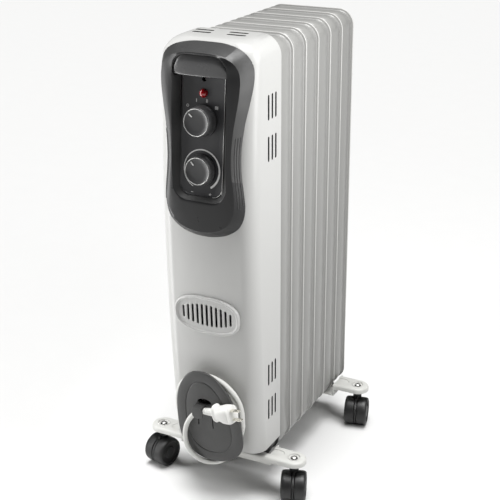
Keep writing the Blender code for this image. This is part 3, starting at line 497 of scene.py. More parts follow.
def radial(outline, centre_z, count):
    """Where evenly turned rays from the middle meet an outline, as x and z."""
    points = []
    pairs = list(zip(outline, list(outline[1:]) + [outline[0]]))
    for k in range(count):
        angle = math.tau * (k + 0.5) / count
        dx, dz = math.cos(angle), math.sin(angle)
        best = 0.0
        for (ax, az), (bx, bz) in pairs:
            ex, ez = bx - ax, bz - az
            det = dx * ez - dz * ex
            if abs(det) < 1e-12:
                continue
            px, pz = ax, az - centre_z
            along = (px * ez - pz * ex) / det
            share = (px * dz - pz * dx) / det
            if along > best and -1e-6 <= share <= 1.0 + 1e-6:
                best = along
        points.append((best * dx, centre_z + best * dz))
    return points


def mirrored(half):
    """A closed outline from its right half, which starts and ends on the middle line."""
    left = [(-x, z) for x, z in reversed(half[1:-1])]
    return list(half) + left


def smooth_outline(half, step=0.0020):
    flat = [(x, z, 0.0) for x, z in mirrored(half)]
    return [(p.x, p.y) for p in smooth_line(flat, step, closed=True)]


def combine(target, others, operation):
    """Union or cut a target object with bmeshes, and keep the result as its mesh."""
    cutters = []
    for index, bm in enumerate(others):
        cutter = new_object(f"{target.name}_tool_{index}", bm)
        modifier = target.modifiers.new(f"tool_{index}", "BOOLEAN")
        modifier.operation = operation
        modifier.solver = "EXACT"
        modifier.object = cutter
        cutters.append(cutter)
    return apply_modifiers(target, cutters)


def apply_modifiers(target, helpers=()):
    graph = bpy.context.evaluated_depsgraph_get()
    mesh = bpy.data.meshes.new_from_object(target.evaluated_get(graph))
    target.modifiers.clear()
    target.data = mesh
    for helper in helpers:
        bpy.data.objects.remove(helper, do_unlink=True)
    mesh.shade_smooth()
    mesh.set_sharp_from_angle(angle=SHARP_ANGLE)
    return target


def fuse(target, *others):
    return combine(target, others, "UNION")


def cut(target, *others):
    return combine(target, others, "DIFFERENCE")


def soften(target, width, segments=2, angle=38.0):
    """Round the sharp edges of a finished mesh."""
    bevel = target.modifiers.new("soften", "BEVEL")
    bevel.width = width
    bevel.segments = segments
    bevel.limit_method = "ANGLE"
    bevel.angle_limit = math.radians(angle)
    bevel.use_clamp_overlap = True
    return apply_modifiers(target)


def tube(name, lines, radius, resolution=4):
    """A round bar along one or more lines of points in the shared frame."""
    curve = bpy.data.curves.new(name, "CURVE")
    curve.dimensions = "3D"
    curve.bevel_depth = radius
    curve.bevel_resolution = resolution
    curve.use_fill_caps = True
    for points in lines:
        spline = curve.splines.new("POLY")
        spline.points.add(len(points) - 1)
        for target, (x, y, z) in zip(spline.points, points):
            target.co = (x, y + FRAME_SHIFT_Y, z, 1.0)
    obj = bpy.data.objects.new(name, curve)
    bpy.context.scene.collection.objects.link(obj)
    return obj


# ---------------------------------------------------------------- front cover

def bow_y(z):
    """Y of the cover's middle line in front, which leans back above and below."""
    rate = COVER_BOW_UPPER if z > COVER_BOW_Z else COVER_BOW_LOWER
    return COVER_FRONT_Y + rate * (z - COVER_BOW_Z) ** 2


def cover_ring(z, half_width, front_y, corner, rear_y, segments=14):
    points = [(-half_width, rear_y, z)]
    flat = half_width - corner
    for k in range(segments + 1):
        angle = math.radians(180.0 + 90.0 * k / segments)
        points.append((-flat + corner * math.cos(angle), front_y + corner + corner * math.sin(angle), z))
    for k in range(1, 16):
        x = -flat + 2.0 * flat * k / 16.0
        points.append((x, front_y - COVER_CROWN * (1.0 - (x / flat) ** 2), z))
    for k in range(segments + 1):
        angle = math.radians(270.0 + 90.0 * k / segments)
        points.append((flat + corner * math.cos(angle), front_y + corner + corner * math.sin(angle), z))
    points.append((half_width, rear_y, z))
    return points


def cover_solid(offset, bottom_z, rear_y):
    """The cover's outer form, grown by an offset (negative shrinks it)."""
    rings = []
    half_width, corner = COVER_HALF_WIDTH + offset, COVER_CORNER + offset
    shoulder = COVER_TOP_Z - COVER_TOP_ROUND
    for k in range(37):
        z = bottom_z + (shoulder - bottom_z) * k / 36.0
        rings.append(cover_ring(z, half_width, bow_y(z) - offset, corner, rear_y))
    for k in range(1, 13):
        angle = math.radians(90.0 * k / 12.0)
        inset = COVER_TOP_ROUND * (1.0 - math.cos(angle))
        z = shoulder + (COVER_TOP_ROUND + offset) * math.sin(angle)
        rings.append(cover_ring(z, half_width - inset, bow_y(z) - offset + 0.75 * inset, corner, rear_y))
    return loft(rings)


def vent_shade_face(face):
    """Whether a face of the cover belongs to the wall or the edge of a vent slot, which takes the dark primer
    as painted shade so the slot reads black.
    """
    x, y, z = face.center
    if abs(face.normal.x) < 0.9 and abs(x) > 0.0660:
        if any(abs(y - vy) < 0.0027 and low - 0.0006 < z < high + 0.0006
               for low, high in SIDE_VENT_ROWS for vy in SIDE_VENT_Y):
            return True
    return z > 0.6300 and abs(face.normal.z) < 0.9 and any(
        abs(x - vx) < 0.0140 and abs(y - vy) < 0.0035 for vx, vy in TOP_VENTS)


def build_cover():
    cover = new_object("cover_shell", cover_solid(0.0, COVER_BOTTOM_Z, COVER_REAR_Y))
    tools = [cover_solid(-COVER_SHEET, COVER_BOTTOM_Z - 0.010, COVER_REAR_Y + 0.010),
             slab(rounded_rect(0.0325, 0.4330, 0.6060, 0.006, 3), -0.170, -0.125),
             slab(superellipse(*(half - 0.0035 for half in LOUVRE_HALF), LOUVRE_Z, 64), -0.170, -0.130),
             in_storage(gland_core(GAP))]
    for low, high in SIDE_VENT_ROWS:
        for y in SIDE_VENT_Y:
            for side in (-1.0, 1.0):
                outline = slot_outline(0.0, (low + high) / 2.0, VENT_HALF[0], (high - low) / 2.0)
                place = (side * COVER_HALF_WIDTH, y, 0.0)
                tools.append(moved(slab(outline, -0.004, 0.004), place, Y_TO_RIGHT))
    for x, y in TOP_VENTS:
        vent = slab(slot_outline(0.0, 0.0, TOP_VENT_HALF_LENGTH, VENT_HALF[1]), -0.005, 0.005)
        tools.append(moved(vent, (x, y, COVER_TOP_Z), Y_TO_UP))
    cut(cover, *tools)
    soften(cover, 0.00035, 1, 50.0)
    cover.data.materials.clear()
    cover.data.materials.append(MATS["white_enamel"])
    cover.data.materials.append(MATS["primer_and_painted_shade"])
    # The cover's inward faces take the dark primer, and the vent slot walls take it as painted shade.
    for face in cover.data.polygons:
        x, y, z = face.center
        within = abs(x) < COVER_HALF_WIDTH - 0.0012 and y > bow_y(min(z, BOW_END_Z)) - COVER_CROWN + 0.0012
        inward = face.normal.y > 0.5 or face.normal.x * x < -0.02 or face.normal.z < -0.3
        face.material_index = int(vent_shade_face(face) or (within and inward))
    settle(cover, "white_enamel", "front_cover")


# ---------------------------------------------------------------- radiator

def fin_front_y(index):
    return FIN_REAR_Y - FIN_PITCH * (FIN_COUNT - 1 - index) - FIN_DEPTH


def channel_height(x, z):
    """How far the pressed oil channels stand up at a point of the panel, from 0 to 1."""
    reach = 1.0
    for cx in (-0.0215, 0.0, 0.0215):
        pz = min(max(z, COLLAR_Z[0] + 0.006), COLLAR_Z[1] - 0.006)
        reach = min(reach, math.hypot(x - cx, z - pz) / 0.0088)
    for cz in COLLAR_Z:
        reach = min(reach, math.hypot(x, z - cz) / 0.0240)
        px = min(max(x, -0.0190), 0.0190)
        inner = cz + (0.016 if cz < 0.3 else -0.016)
        reach = min(reach, math.hypot(x - px, z - inner) / 0.0095)
    edge = max(0.0, min(1.0, (1.0 - reach) / 0.42))
    return edge * edge * (3.0 - 2.0 * edge)


def fin_panel(front):
    """The pressed sheet behind a fin, welded round its edge, with three oil channels."""
    half_x, z_low, z_high = 0.0370, COLLAR_Z[0] - 0.0265, COLLAR_Z[1] + 0.0265
    columns, rows = 44, 200
    bm = bmesh.new()
    grid = []
    for j in range(rows + 1):
        z = z_low + (z_high - z_low) * j / rows
        line = []
        for i in range(columns + 1):
            x = -half_x + 2.0 * half_x * i / columns
            y = front + FIN_WEB + 0.0012 + 0.0098 * channel_height(x, z)
            line.append(bm.verts.new((x, y, z)))
        grid.append(line)
    for low, high in zip(grid, grid[1:]):
        for i in range(columns):
            bm.faces.new((low[i], low[i + 1], high[i + 1], high[i]))
    border = [v for v in bm.edges if v.is_boundary]
    made = bmesh.ops.extrude_edge_only(bm, edges=border)
    for vert in (v for v in made["geom"] if isinstance(v, bmesh.types.BMVert)):
        vert.co.y = front + FIN_WEB
    return bm


def build_fin(index):
    """A folded sheet tray with a rolled rear edge, its welded oil panel and two collars."""
    front = fin_front_y(index)
    rear = front + FIN_DEPTH
    rings = []

    def ring(inset, y):
        low, high = FIN_Z
        points = rounded_rect(FIN_HALF_WIDTH - inset, low + inset, high - inset, FIN_CORNER - inset, 14)
        rings.append([(x, y, z) for x, z in points])

    edge = FIN_EDGE_ROUND
    for k in range(10):
        angle = math.radians(90.0 * k / 9.0)
        ring(edge * (1.0 - math.sin(angle)), front + 0.0130 * (1.0 - math.cos(angle)))
    for inset, depth in ((0.0003, 0.0155), (0.0010, 0.0190), (0.0018, 0.0230), (0.0026, 0.0275),
                         (0.0029, 0.0300), (0.0020, 0.0314)):
        ring(inset, front + depth)
    bead = 0.00105
    for k in range(9):
        angle = math.radians(-60.0 + 300.0 * k / 8.0)
        ring(FIN_SHEET / 2.0 - bead * math.cos(angle), rear - bead + bead * math.sin(angle))
    for inset, depth in ((0.0034, 0.0314), (0.0041, 0.0302), (0.0039, 0.0275), (0.0031, 0.0230),
                         (0.0017, 0.0155), (0.0020, 0.0080), (0.0034, 0.0032), (0.0052, 0.0018)):
        ring(inset, front + depth)
    parts = [loft(rings), fin_panel(front)]
    last = index == FIN_COUNT - 1
    for z in COLLAR_Z:
        end = front + (0.0158 if last else FIN_PITCH - 0.0031)
        start = front - 0.0028
        profile = [(0.0150, start + 0.0002), (COLLAR_RADIUS - 0.0008, start), (COLLAR_RADIUS, start + 0.0008),
                   (COLLAR_RADIUS, end - 0.0008), (COLLAR_RADIUS - 0.0008, end), (0.0150, end - 0.0002)]
        parts.append(loft([circle(r, y, 48, z) for r, y in profile], closed=True))
    tray = new_object(f"fin_{index + 1}_tray", joined(parts))
    # The first fin sits inside the cover and is painted dark all over: painted shade.
    for key in ("primer_and_painted_shade" if index == 0 else "fin_enamel", "fin_hem_highlight"):
        tray.data.materials.append(MATS[key])
    # Faces along the rolled rear edge of fins 2 to 7 take the lighter paint: a painted highlight.
    for face in tray.data.polygons:
        face.material_index = int(face.center.y > rear - 1.9 * bead and index > 0)
    settle(tray, "fin_enamel", f"fin_{index + 1}")


# ---------------------------------------------------------------- control housing

def plate_y(z):
    return PLATE_REF[0] - (PLATE_REF[1] - z) * math.tan(PLATE_TILT)


def plate_point(x, z, lift):
    """A point over the tilted plate, lifted along its normal."""
    return (x, plate_y(z) - lift * math.cos(PLATE_TILT), z + lift * math.sin(PLATE_TILT))


def plate_ring(points, lift):
    return [plate_point(x, z, lift) for x, z in points]


def cover_front(x, z):
    """Y of the cover's outer surface in front, at a point of its height and width."""
    rise = min(1.0, max(0.0, (z - COVER_TOP_Z + COVER_TOP_ROUND) / COVER_TOP_ROUND))
    inset = COVER_TOP_ROUND * (1.0 - math.sqrt(1.0 - rise * rise))
    front = bow_y(z) + 0.75 * inset
    flat = COVER_HALF_WIDTH - inset - COVER_CORNER
    beyond = abs(x) - flat
    if beyond <= 0.0:
        return front - COVER_CROWN * (1.0 - (x / flat) ** 2)
    return front + COVER_CORNER - math.sqrt(max(0.0, COVER_CORNER ** 2 - beyond ** 2))


def frame_y(x, z, rise):
    """Y of the housing's crowned frame, which stands before the cover by a rise at its sides."""
    return bow_y(min(z, BOW_END_Z)) - rise - FRAME_CROWN * (1.0 - (x / HOUSING_HALF_X) ** 2)


def housing_ring(outline, share, sink=0.0):
    """A ring of the housing's slope, from its foot on the cover to the edge of its raised frame."""
    inset = FRAME_INSET * share
    ring = []
    for x, z in outline:
        px = x * (1.0 - inset / HOUSING_HALF_X)
        pz = HOUSING_MIDDLE_Z + (z - HOUSING_MIDDLE_Z) * (1.0 - inset / HOUSING_HALF_Z)
        top = frame_y(px, pz, FRAME_RISE)
        swell = 0.0010 * math.sin(math.pi * share)
        ring.append((px, cover_front(x, z) * (1.0 - share) + top * share - swell + sink, pz))
    return ring


def build_bezel():
    count = 192
    outline = radial(smooth_outline(BEZEL_OUTLINE), BEZEL_CENTRE_Z, count)
    rings = [housing_ring(outline, 0.0, 0.020), housing_ring(outline, 0.0, 0.0012)]
    rings += [housing_ring(outline, share) for share in (0.02, 0.08, 0.18, 0.32, 0.48, 0.64, 0.80, 0.93, 1.0)]
    window = radial(rounded_rect(WINDOW_HALF_WIDTH, *WINDOW_Z, WINDOW_ROUND, 12), BEZEL_CENTRE_Z, count)
    seat = radial(rounded_rect(PLATE_HALF_X + GAP, PLATE_Z[0] - GAP, PLATE_Z[1] + GAP, 0.014, 10),
                  BEZEL_CENTRE_Z, count)
    edge = rings[-1]
    for share in (0.12, 0.3, 0.5, 0.7, 0.88, 0.97, 1.0):
        ring = []
        for (ax, ay, az), (wx, wz) in zip(edge, window):
            x, z = ax + (wx - ax) * share, az + (wz - az) * share
            rise = FRAME_RISE + 0.0017 * math.sin(share * math.pi * 0.5) - (0.0006 if share == 1.0 else 0.0)
            ring.append((x, frame_y(x, z, rise), z))
        rings.append(ring)
    lip = rings[-1]
    foot = plate_ring(seat, 0.0)
    for share, tuck in ((0.10, 0.10), (0.35, 0.32), (0.70, 0.68), (1.0, 1.0)):
        ring = []
        for (ax, ay, az), (bx, by, bz) in zip(lip, foot):
            ring.append((ax + (bx - ax) * tuck, ay + (by - ay) * share, az + (bz - az) * tuck))
        rings.append(ring)
    rings.append(plate_ring(seat, -0.0028))
    bezel = new_object("bezel_housing", loft(rings))
    for key in ("charcoal_plastic", "inlay_and_recess_shade", "gloss_plastic", "chin"):
        bezel.data.materials.append(MATS[key])
    for face in bezel.data.polygons:
        row, turn = divmod(face.index, count)
        angle = math.tau * (turn + 1.0) / count
        # The window's walls take the darker inlay finish: painted shade of the recess.
        if row >= FIRST_WALL_ROW:
            face.material_index = 1
        elif row >= FIRST_FRAME_ROW:
            face.material_index = 2
        elif math.radians(135.0) < angle < math.radians(312.0):
            face.material_index = 3
        elif 3 <= row <= 8 and abs(angle - math.pi / 2) < math.radians(21.5):
            face.material_index = 1
    cut(bezel, cover_solid(GAP, 0.050, 0.0), hood_solid(GAP))
    settle(bezel, "charcoal_plastic", "bezel")

    lines = []
    for side in (-1.0, 1.0):
        for share in (0.20, 0.42, 0.64):
            line = [p for p in housing_ring(outline, share) if 0.432 < p[2] < 0.524 and side * p[0] > 0.0]
            lines.append(sorted(line, key=lambda p: p[2]))
    settle(tube("bezel_grip_ribs", lines, 0.00062), "charcoal_plastic")


def hood_solid(grow):
    """The bar across the top of the window, grown by an offset."""
    rings = []
    half = WINDOW_HALF_WIDTH + 0.0014 + 0.5 * grow
    for k in range(45):
        x = -half + 2.0 * half * k / 44.0
        side = abs(k - 22) / 22.0
        beyond = max(0.0, abs(x) - WINDOW_HALF_WIDTH + WINDOW_ROUND)
        drop = WINDOW_ROUND - math.sqrt(max(0.0, WINDOW_ROUND ** 2 - beyond ** 2))
        top = WINDOW_Z[1] - 0.0003 - min(drop, WINDOW_Z[1] - HOOD_BOTTOM_Z - 0.0065)
        front = bow_y(0.595) - 0.0137 + 0.0010 * side ** 2 + 0.0018 * side ** 6
        section = [(front + 0.0095, HOOD_BOTTOM_Z + 0.0060), (front + 0.0060, HOOD_BOTTOM_Z),
                   (front + 0.0012, HOOD_BOTTOM_Z + 0.0006), (front, HOOD_BOTTOM_Z + 0.0030),
                   (front - 0.0003, (HOOD_BOTTOM_Z + top) / 2.0 + 0.0020), (front + 0.0010, top - 0.0012),
                   (front + 0.0035, top), (front + 0.0110, top)]
        centre = Vector((sum(y for y, z in section), sum(z for y, z in section))) / len(section)
        fine = []
        for a, b, c in zip(section[-1:] + section[:-1], section, section[1:] + section[:1]):
            a, b, c = Vector(a), Vector(b), Vector(c)
            for t in (0.25, 0.5, 0.75):
                fine.append(((1 - t) ** 2 * (a + b) / 2.0) + 2 * t * (1 - t) * b + t * t * (b + c) / 2.0)
        ring = []
        for point in fine:
            away = point - centre
            spread = centre + away * (1.0 + 4.5 * grow / away.length)
            ring.append((x, spread.x, spread.y))
        rings.append(ring)
    return loft(rings)


def build_plate():
    def inset_outline(inset):
        low, high = PLATE_Z
        return rounded_rect(PLATE_HALF_X - inset, low + inset, high - inset, PLATE_CORNER - inset, 12)

    rings = [plate_ring(inset_outline(inset), lift)
             for inset, lift in ((0.0, -0.0025), (0.0, 0.0003), (0.0002, 0.0007), (0.0007, 0.0009),
                                 (0.0012, 0.0007), (0.0016, 0.0001), (0.0020, 0.0))]
    plate = new_object("control_panel", loft(rings))
    holes = []
    for z, radius in ((SELECTOR_Z, 0.0056), (THERMOSTAT_Z, 0.0056), (LAMP_Z, 0.0057), (PEEP_Z, 0.0031)):
        hole = turned([(radius, -0.012), (radius, 0.012)], 40)
        holes.append(moved(hole, (0.0, plate_y(z), z), PLATE_TURN))
    cut(plate, *holes)
    settle(plate, "panel_plastic", "control_plate")
    # A bright trim along only the plate's right side and lower right corner: a painted highlight where the
    # edge catches the light.
    side = [p for p in inset_outline(0.0007) if p[0] > 0.0060 and p[1] < 0.5955]
    side.sort(key=lambda p: math.atan2(p[0], p[1] - 0.530))
    trim = smooth_line([plate_point(x, z, 0.0008) for x, z in side], 0.0020)
    settle(tube("panel_painted_highlight_trim", [trim], 0.00045), "panel_plastic", finish="bright")


def mark_slab(outline):
    """A printed mark: a thin raised shape on the plate."""
    return loft([plate_ring(outline, -0.0001), plate_ring(outline, 0.00012)])


def stroke(x, z, half_x, half_z):
    return mark_slab(slot_outline(x, z, half_x, half_z, 3))


def arc_outline(centre_z, radius, start, end, thin, thick, steps=48):
    """A crescent that grows from thin to thick as it runs clockwise from start to end, in degrees."""
    outer, inner = [], []
    for k in range(steps + 1):
        share = k / steps
        angle = math.radians(start + (end - start) * share)
        half = (thin + (thick - thin) * share) / 2.0
        outer.append(((radius + half) * math.sin(angle), centre_z + (radius + half) * math.cos(angle)))
        inner.append(((radius - half) * math.sin(angle), centre_z + (radius - half) * math.cos(angle)))
    return outer + inner[::-1]


def build_marks():
    parts = []
    ring, hole = ([(-0.0221 + x, z) for x, y, z in circle(radius, 0.0, 24, 0.5551)]
                  for radius in (0.0018, 0.0011))
    parts.append(loft([plate_ring(ring, -0.0001), plate_ring(ring, 0.00012), plate_ring(hole, 0.00012),
                       plate_ring(hole, -0.0001)], closed=True))
    parts.append(stroke(-0.0099, 0.5625, 0.0004, 0.0021))
    for dx in (-0.0008, 0.0008):
        parts.append(stroke(0.0048 + dx, 0.5629, 0.0004, 0.0021))
    for dx in (-0.0016, 0.0, 0.0016):
        parts.append(stroke(0.0182 + dx, 0.5558, 0.0004, 0.0021))
    parts.append(stroke(-0.0130, 0.4481, 0.0016, 0.0003))
    parts.append(stroke(0.0127, 0.4480, 0.0016, 0.0003))
    parts.append(stroke(0.0127, 0.4480, 0.0003, 0.0016))
    parts.append(mark_slab(arc_outline(THERMOSTAT_Z, 0.0250, -152.0, 148.0, 0.0007, 0.0026)))
    settle(new_object("panel_marks", joined(parts)), "panel_plastic", finish="print")


def build_knob(name, z, pointer_deg):
    """A fluted knob with a bright ring round its dished face and a pointer."""
    reach = (plate_y(z) - KNOB_FRONT_Y) / math.cos(PLATE_TILT)
    origin = (0.0, plate_y(z), z)
    r = KNOB_RADIUS
    profile = [(0.0040, -0.0015), (r + 0.0010, -0.0015), (r + 0.0011, -0.0022), (r + 0.0009, -0.0044),
               (r + 0.0004, -0.0050), (r, -0.0062), (r - 0.0003, -reach + 0.0034),
               (r - 0.0006, -reach + 0.0014), (r - 0.0012, -reach + 0.0006), (r - 0.0019, -reach + 0.0004),
               (r - 0.0032, -reach + 0.0008), (r - 0.0040, -reach + 0.0014), (0.0090, -reach + 0.0019),
               (0.0004, -reach + 0.0021)]

    def flutes(angle, row):
        return 1.0 - 0.014 * abs(math.cos(18.0 * angle)) if row in (5, 6) else 1.0

    body = f"{name}_turning"
    knob = new_object(f"{name}_moulding", moved(turned(profile, 216, flutes), origin, PLATE_TURN))
    settle(knob, "knob_plastic", name, body=body)

    ring = [circle(radius, -reach + lift + 0.0001, 96)
            for radius, lift in ((r - 0.0025, 0.0005), (r - 0.0024, 0.0001), (r - 0.0021, -0.0001),
                                 (r - 0.0018, 0.0001), (r - 0.0017, 0.0005))]
    bright = new_object(f"{name}_ring", moved(loft(ring, closed=True), origin, PLATE_TURN))
    settle(bright, "plain_steel", body=body, finish="bright")

    turn = Matrix.Rotation(math.radians(pointer_deg), 3, "Y")
    mark = slab([(-0.0006, 0.0088), (0.0006, 0.0088), (0.0006, 0.0144), (-0.0006, 0.0144)],
                -reach + 0.0009, -reach + 0.0022)
    moved(mark, rotation=turn)
    pointer = new_object(f"{name}_pointer", moved(mark, origin, PLATE_TURN))
    settle(pointer, "knob_plastic", body=body, finish="print")


def build_lamp():
    profile = [(0.0054, 0.0060), (0.0054, -0.0006)]
    for k in range(1, 12):
        angle = math.radians(90.0 * k / 12.0)
        profile.append((0.0054 * math.cos(angle), -0.0006 - 0.0051 * math.sin(angle)))
    profile.append((0.0002, -0.0057))
    lamp = moved(turned(profile, 64), (0.0, plate_y(LAMP_Z), LAMP_Z), PLATE_TURN)
    settle(new_object("lamp_lens", lamp), "red_lens", "indicator_lens")


def build_louvre():
    """The oval grille, which follows the bow of the cover, with a rounded rim and upright slots."""
    def ring(inset, y):
        points = superellipse(LOUVRE_HALF[0] - inset, LOUVRE_HALF[1] - inset, LOUVRE_Z, 128)
        return [(x, y + bow_y(z), z) for x, z in points]

    rings = [ring(0.0, 0.0040), ring(0.0, -0.0030), ring(0.0003, -0.0042), ring(0.0010, -0.0051),
             ring(0.0020, -0.0055), ring(0.0030, -0.0052), ring(0.0038, -0.0044), ring(0.0044, -0.0036),
             ring(0.0056, -0.0034)]
    grille = new_object("grille", loft(rings))
    tools = [cover_solid(GAP, 0.050, 0.0)]
    for k in range(LOUVRE_COUNT):
        x = LOUVRE_PITCH * (k - (LOUVRE_COUNT - 1) / 2.0)
        half = 0.0165 * math.sqrt(1.0 - (x / 0.0430) ** 2) - 0.0010
        tools.append(slab(slot_outline(x, LOUVRE_Z, LOUVRE_SLOT / 2.0, half), -0.160, -0.130))
    cut(grille, *tools)
    soften(grille, 0.00035, 2, 50.0)
    settle(grille, "white_enamel", "louvre_grille")


# ---------------------------------------------------------------- cord storage

def storage_origin():
    return Vector((STORAGE_X, bow_y(STORAGE_Z) - COVER_CROWN, STORAGE_Z))


def storage_rotation():
    return Matrix.Rotation(STORAGE_TILT, 3, "X")


def storage_point(x, up, out):
    """Building frame point from the storage frame: x, up along the cover, out along its normal."""
    return storage_origin() + storage_rotation() @ Vector((x, -out, up))


def in_storage(bm):
    return moved(bm, storage_origin(), storage_rotation())


def place_in_storage(obj):
    obj.data.transform(Matrix.Translation(storage_origin()) @ storage_rotation().to_4x4())
    return obj


def gland_line():
    base = Vector((GLAND_BASE[0], -GLAND_BASE[2], GLAND_BASE[1]))
    tip = Vector((GLAND_TIP[0], -GLAND_TIP[2], GLAND_TIP[1]))
    return base, (tip - base).length, (tip - base).to_track_quat("Y", "Z").to_matrix()


def gland_core(grow):
    base, length, turn = gland_line()
    profile = [(0.0060 + grow, -grow), (0.0060 + grow, 0.0050), (0.0037 + grow, length - 0.0020),
               (0.0037 + grow, length + grow)]
    return moved(turned(profile, 32), base, turn)


def build_gland():
    """Tapered strain relief with moulded rings."""
    base, length, turn = gland_line()
    profile = [(0.0040, 0.0), (0.0060, 0.0004), (0.0060, 0.0044)]
    rings = 8
    for k in range(rings):
        low = 0.0050 + (length - 0.0065) * k / rings
        share = k / (rings - 1.0)
        outer = 0.0059 + (0.0039 - 0.0059) * share
        profile += [(outer - 0.0006, low), (outer, low + 0.0005), (outer, low + 0.0014),
                    (outer - 0.0006, low + 0.0019)]
    profile += [(0.0037, length - 0.0010), (0.0035, length)]
    gland = new_object("cord_gland", in_storage(moved(turned(profile, 40), base, turn)))
    return settle(gland, "cord_jacket", "cord_strain_relief")


def winding():
    """The wound cord's centreline in the storage frame, clockwise seen from the front."""
    arc = math.pi * COIL_MEAN
    lap = 2.0 * arc + 4.0 * OVAL_HALF
    total = 5.0 * lap + arc + 2.0 * OVAL_HALF + 0.020
    ease, gain = 0.050, 0.2124
    count = round(total / 0.0024)
    points = []
    for n in range(count + 1):
        s = total * n / count
        radius, out = COIL_CELLS[0]
        for k in range(len(COIL_CELLS) - 1):
            share = (s - (0.2424 + gain * k - ease)) / ease
            share = min(1.0, max(0.0, share))
            share = share * share * (3.0 - 2.0 * share)
            radius += (COIL_CELLS[k + 1][0] - COIL_CELLS[k][0]) * share
            out += (COIL_CELLS[k + 1][1] - COIL_CELLS[k][1]) * share
        u = s % lap
        if u < arc:
            angle = math.pi - u / COIL_MEAN
            x, up = radius * math.cos(angle), OVAL_UP + OVAL_HALF + radius * math.sin(angle)
        elif u < arc + 2.0 * OVAL_HALF:
            x, up = radius, OVAL_UP + OVAL_HALF - (u - arc)
        elif u < 2.0 * arc + 2.0 * OVAL_HALF:
            angle = -(u - arc - 2.0 * OVAL_HALF) / COIL_MEAN
            x, up = radius * math.cos(angle), OVAL_UP - OVAL_HALF + radius * math.sin(angle)
        else:
            x, up = -radius, OVAL_UP - OVAL_HALF + (u - 2.0 * arc - 2.0 * OVAL_HALF)
        points.append((x, up, out))
    return [GLAND_TIP] + points[1:]


def build_cord(gland):
    turns = winding()
    free = smooth_line([turns[-10], turns[-1], *TAIL_ROUTE], 0.0024)
    line = [storage_point(*p) for p in turns[:-10]] + [storage_point(*p) for p in free]
    cord = tube("power_cord", [line], CORD_RADIUS, 5)
    settle(cord, "cord_jacket", "cord_coil", "cord_tail")


def plug_frame():
    start = Vector(storage_point(*PLUG_START))
    end = Vector(storage_point(*PLUG_END))
    along = (end - start).normalized()
    across = along.cross(Vector((0.0, -1.0, 0.0))).normalized()
    return start, (end - start).length, Matrix((across.cross(along), along, across)).transposed()


def build_plug():
    """The moulded plug: a ribbed tail, a finger collar and a body with soft edges."""
    start, length, basis = plug_frame()

    def ring(half_a, half_b, height, power=2.6):
        return [(a, height, b) for a, b in superellipse(half_a, half_b, 0.0, 48, power)]

    rings = [ring(0.0038, 0.0038, -0.0026, 2.0), ring(0.0044, 0.0044, -0.0020, 2.0)]
    for k in range(5):
        low = -0.0012 + 0.0037 * k
        size = 0.0046 + 0.0003 * k
        rings += [ring(size - 0.0009, size - 0.0009, low, 2.0), ring(size, size, low + 0.0006, 2.0),
                  ring(size, size, low + 0.0022, 2.0), ring(size - 0.0009, size - 0.0009, low + 0.0028, 2.0)]
    rings += [ring(0.0058, 0.0060, 0.0176, 2.2), ring(0.0078, 0.0098, 0.0184), ring(0.0090, 0.0120, 0.0196),
              ring(0.0092, 0.0126, 0.0210), ring(0.0090, 0.0120, 0.0224), ring(0.0086, 0.0100, 0.0238),
              ring(0.0088, 0.0094, 0.0256), ring(0.0098, 0.0100, 0.0286), ring(0.0106, 0.0110, 0.0326),
              ring(0.0109, 0.0118, 0.0370, 3.2), ring(0.0110, 0.0120, length - 0.0070, 3.4),
              ring(0.0110, 0.0120, length - 0.0016, 3.4), ring(0.0106, 0.0116, length - 0.0005, 3.4),
              ring(0.0098, 0.0108, length, 3.4)]
    plug = new_object("plug_moulding", moved(loft(rings), start, basis))
    settle(plug, "plug_vinyl", "plug_body")

    outline = rounded_rect(0.0031, length + GAP, length + 0.0153, 0.0012, 5)
    parts = []
    for side in (-1.0, 1.0):
        centre = side * 0.00635
        levels = ((-0.0008, 0.94), (-0.0005, 1.0), (0.0005, 1.0), (0.0008, 0.94))
        middle = length + 0.0078
        parts.append(loft([[(a * s, middle + (h - middle) * (1.0 - (1.0 - s) * 0.4), centre + lift)
                            for a, h in outline] for lift, s in levels]))
    blades = new_object("plug_blades", joined(parts))
    hole = turned([(0.0016, -0.012), (0.0016, 0.012)], 24)
    cut(blades, moved(hole, (0.0, length + 0.0117, 0.0), Y_TO_UP))
    blades.data.transform(Matrix.Translation(start) @ basis.to_4x4())
    settle(blades, "blade_metal", "plug_blade_left", "plug_blade_right")
    return plug, blades


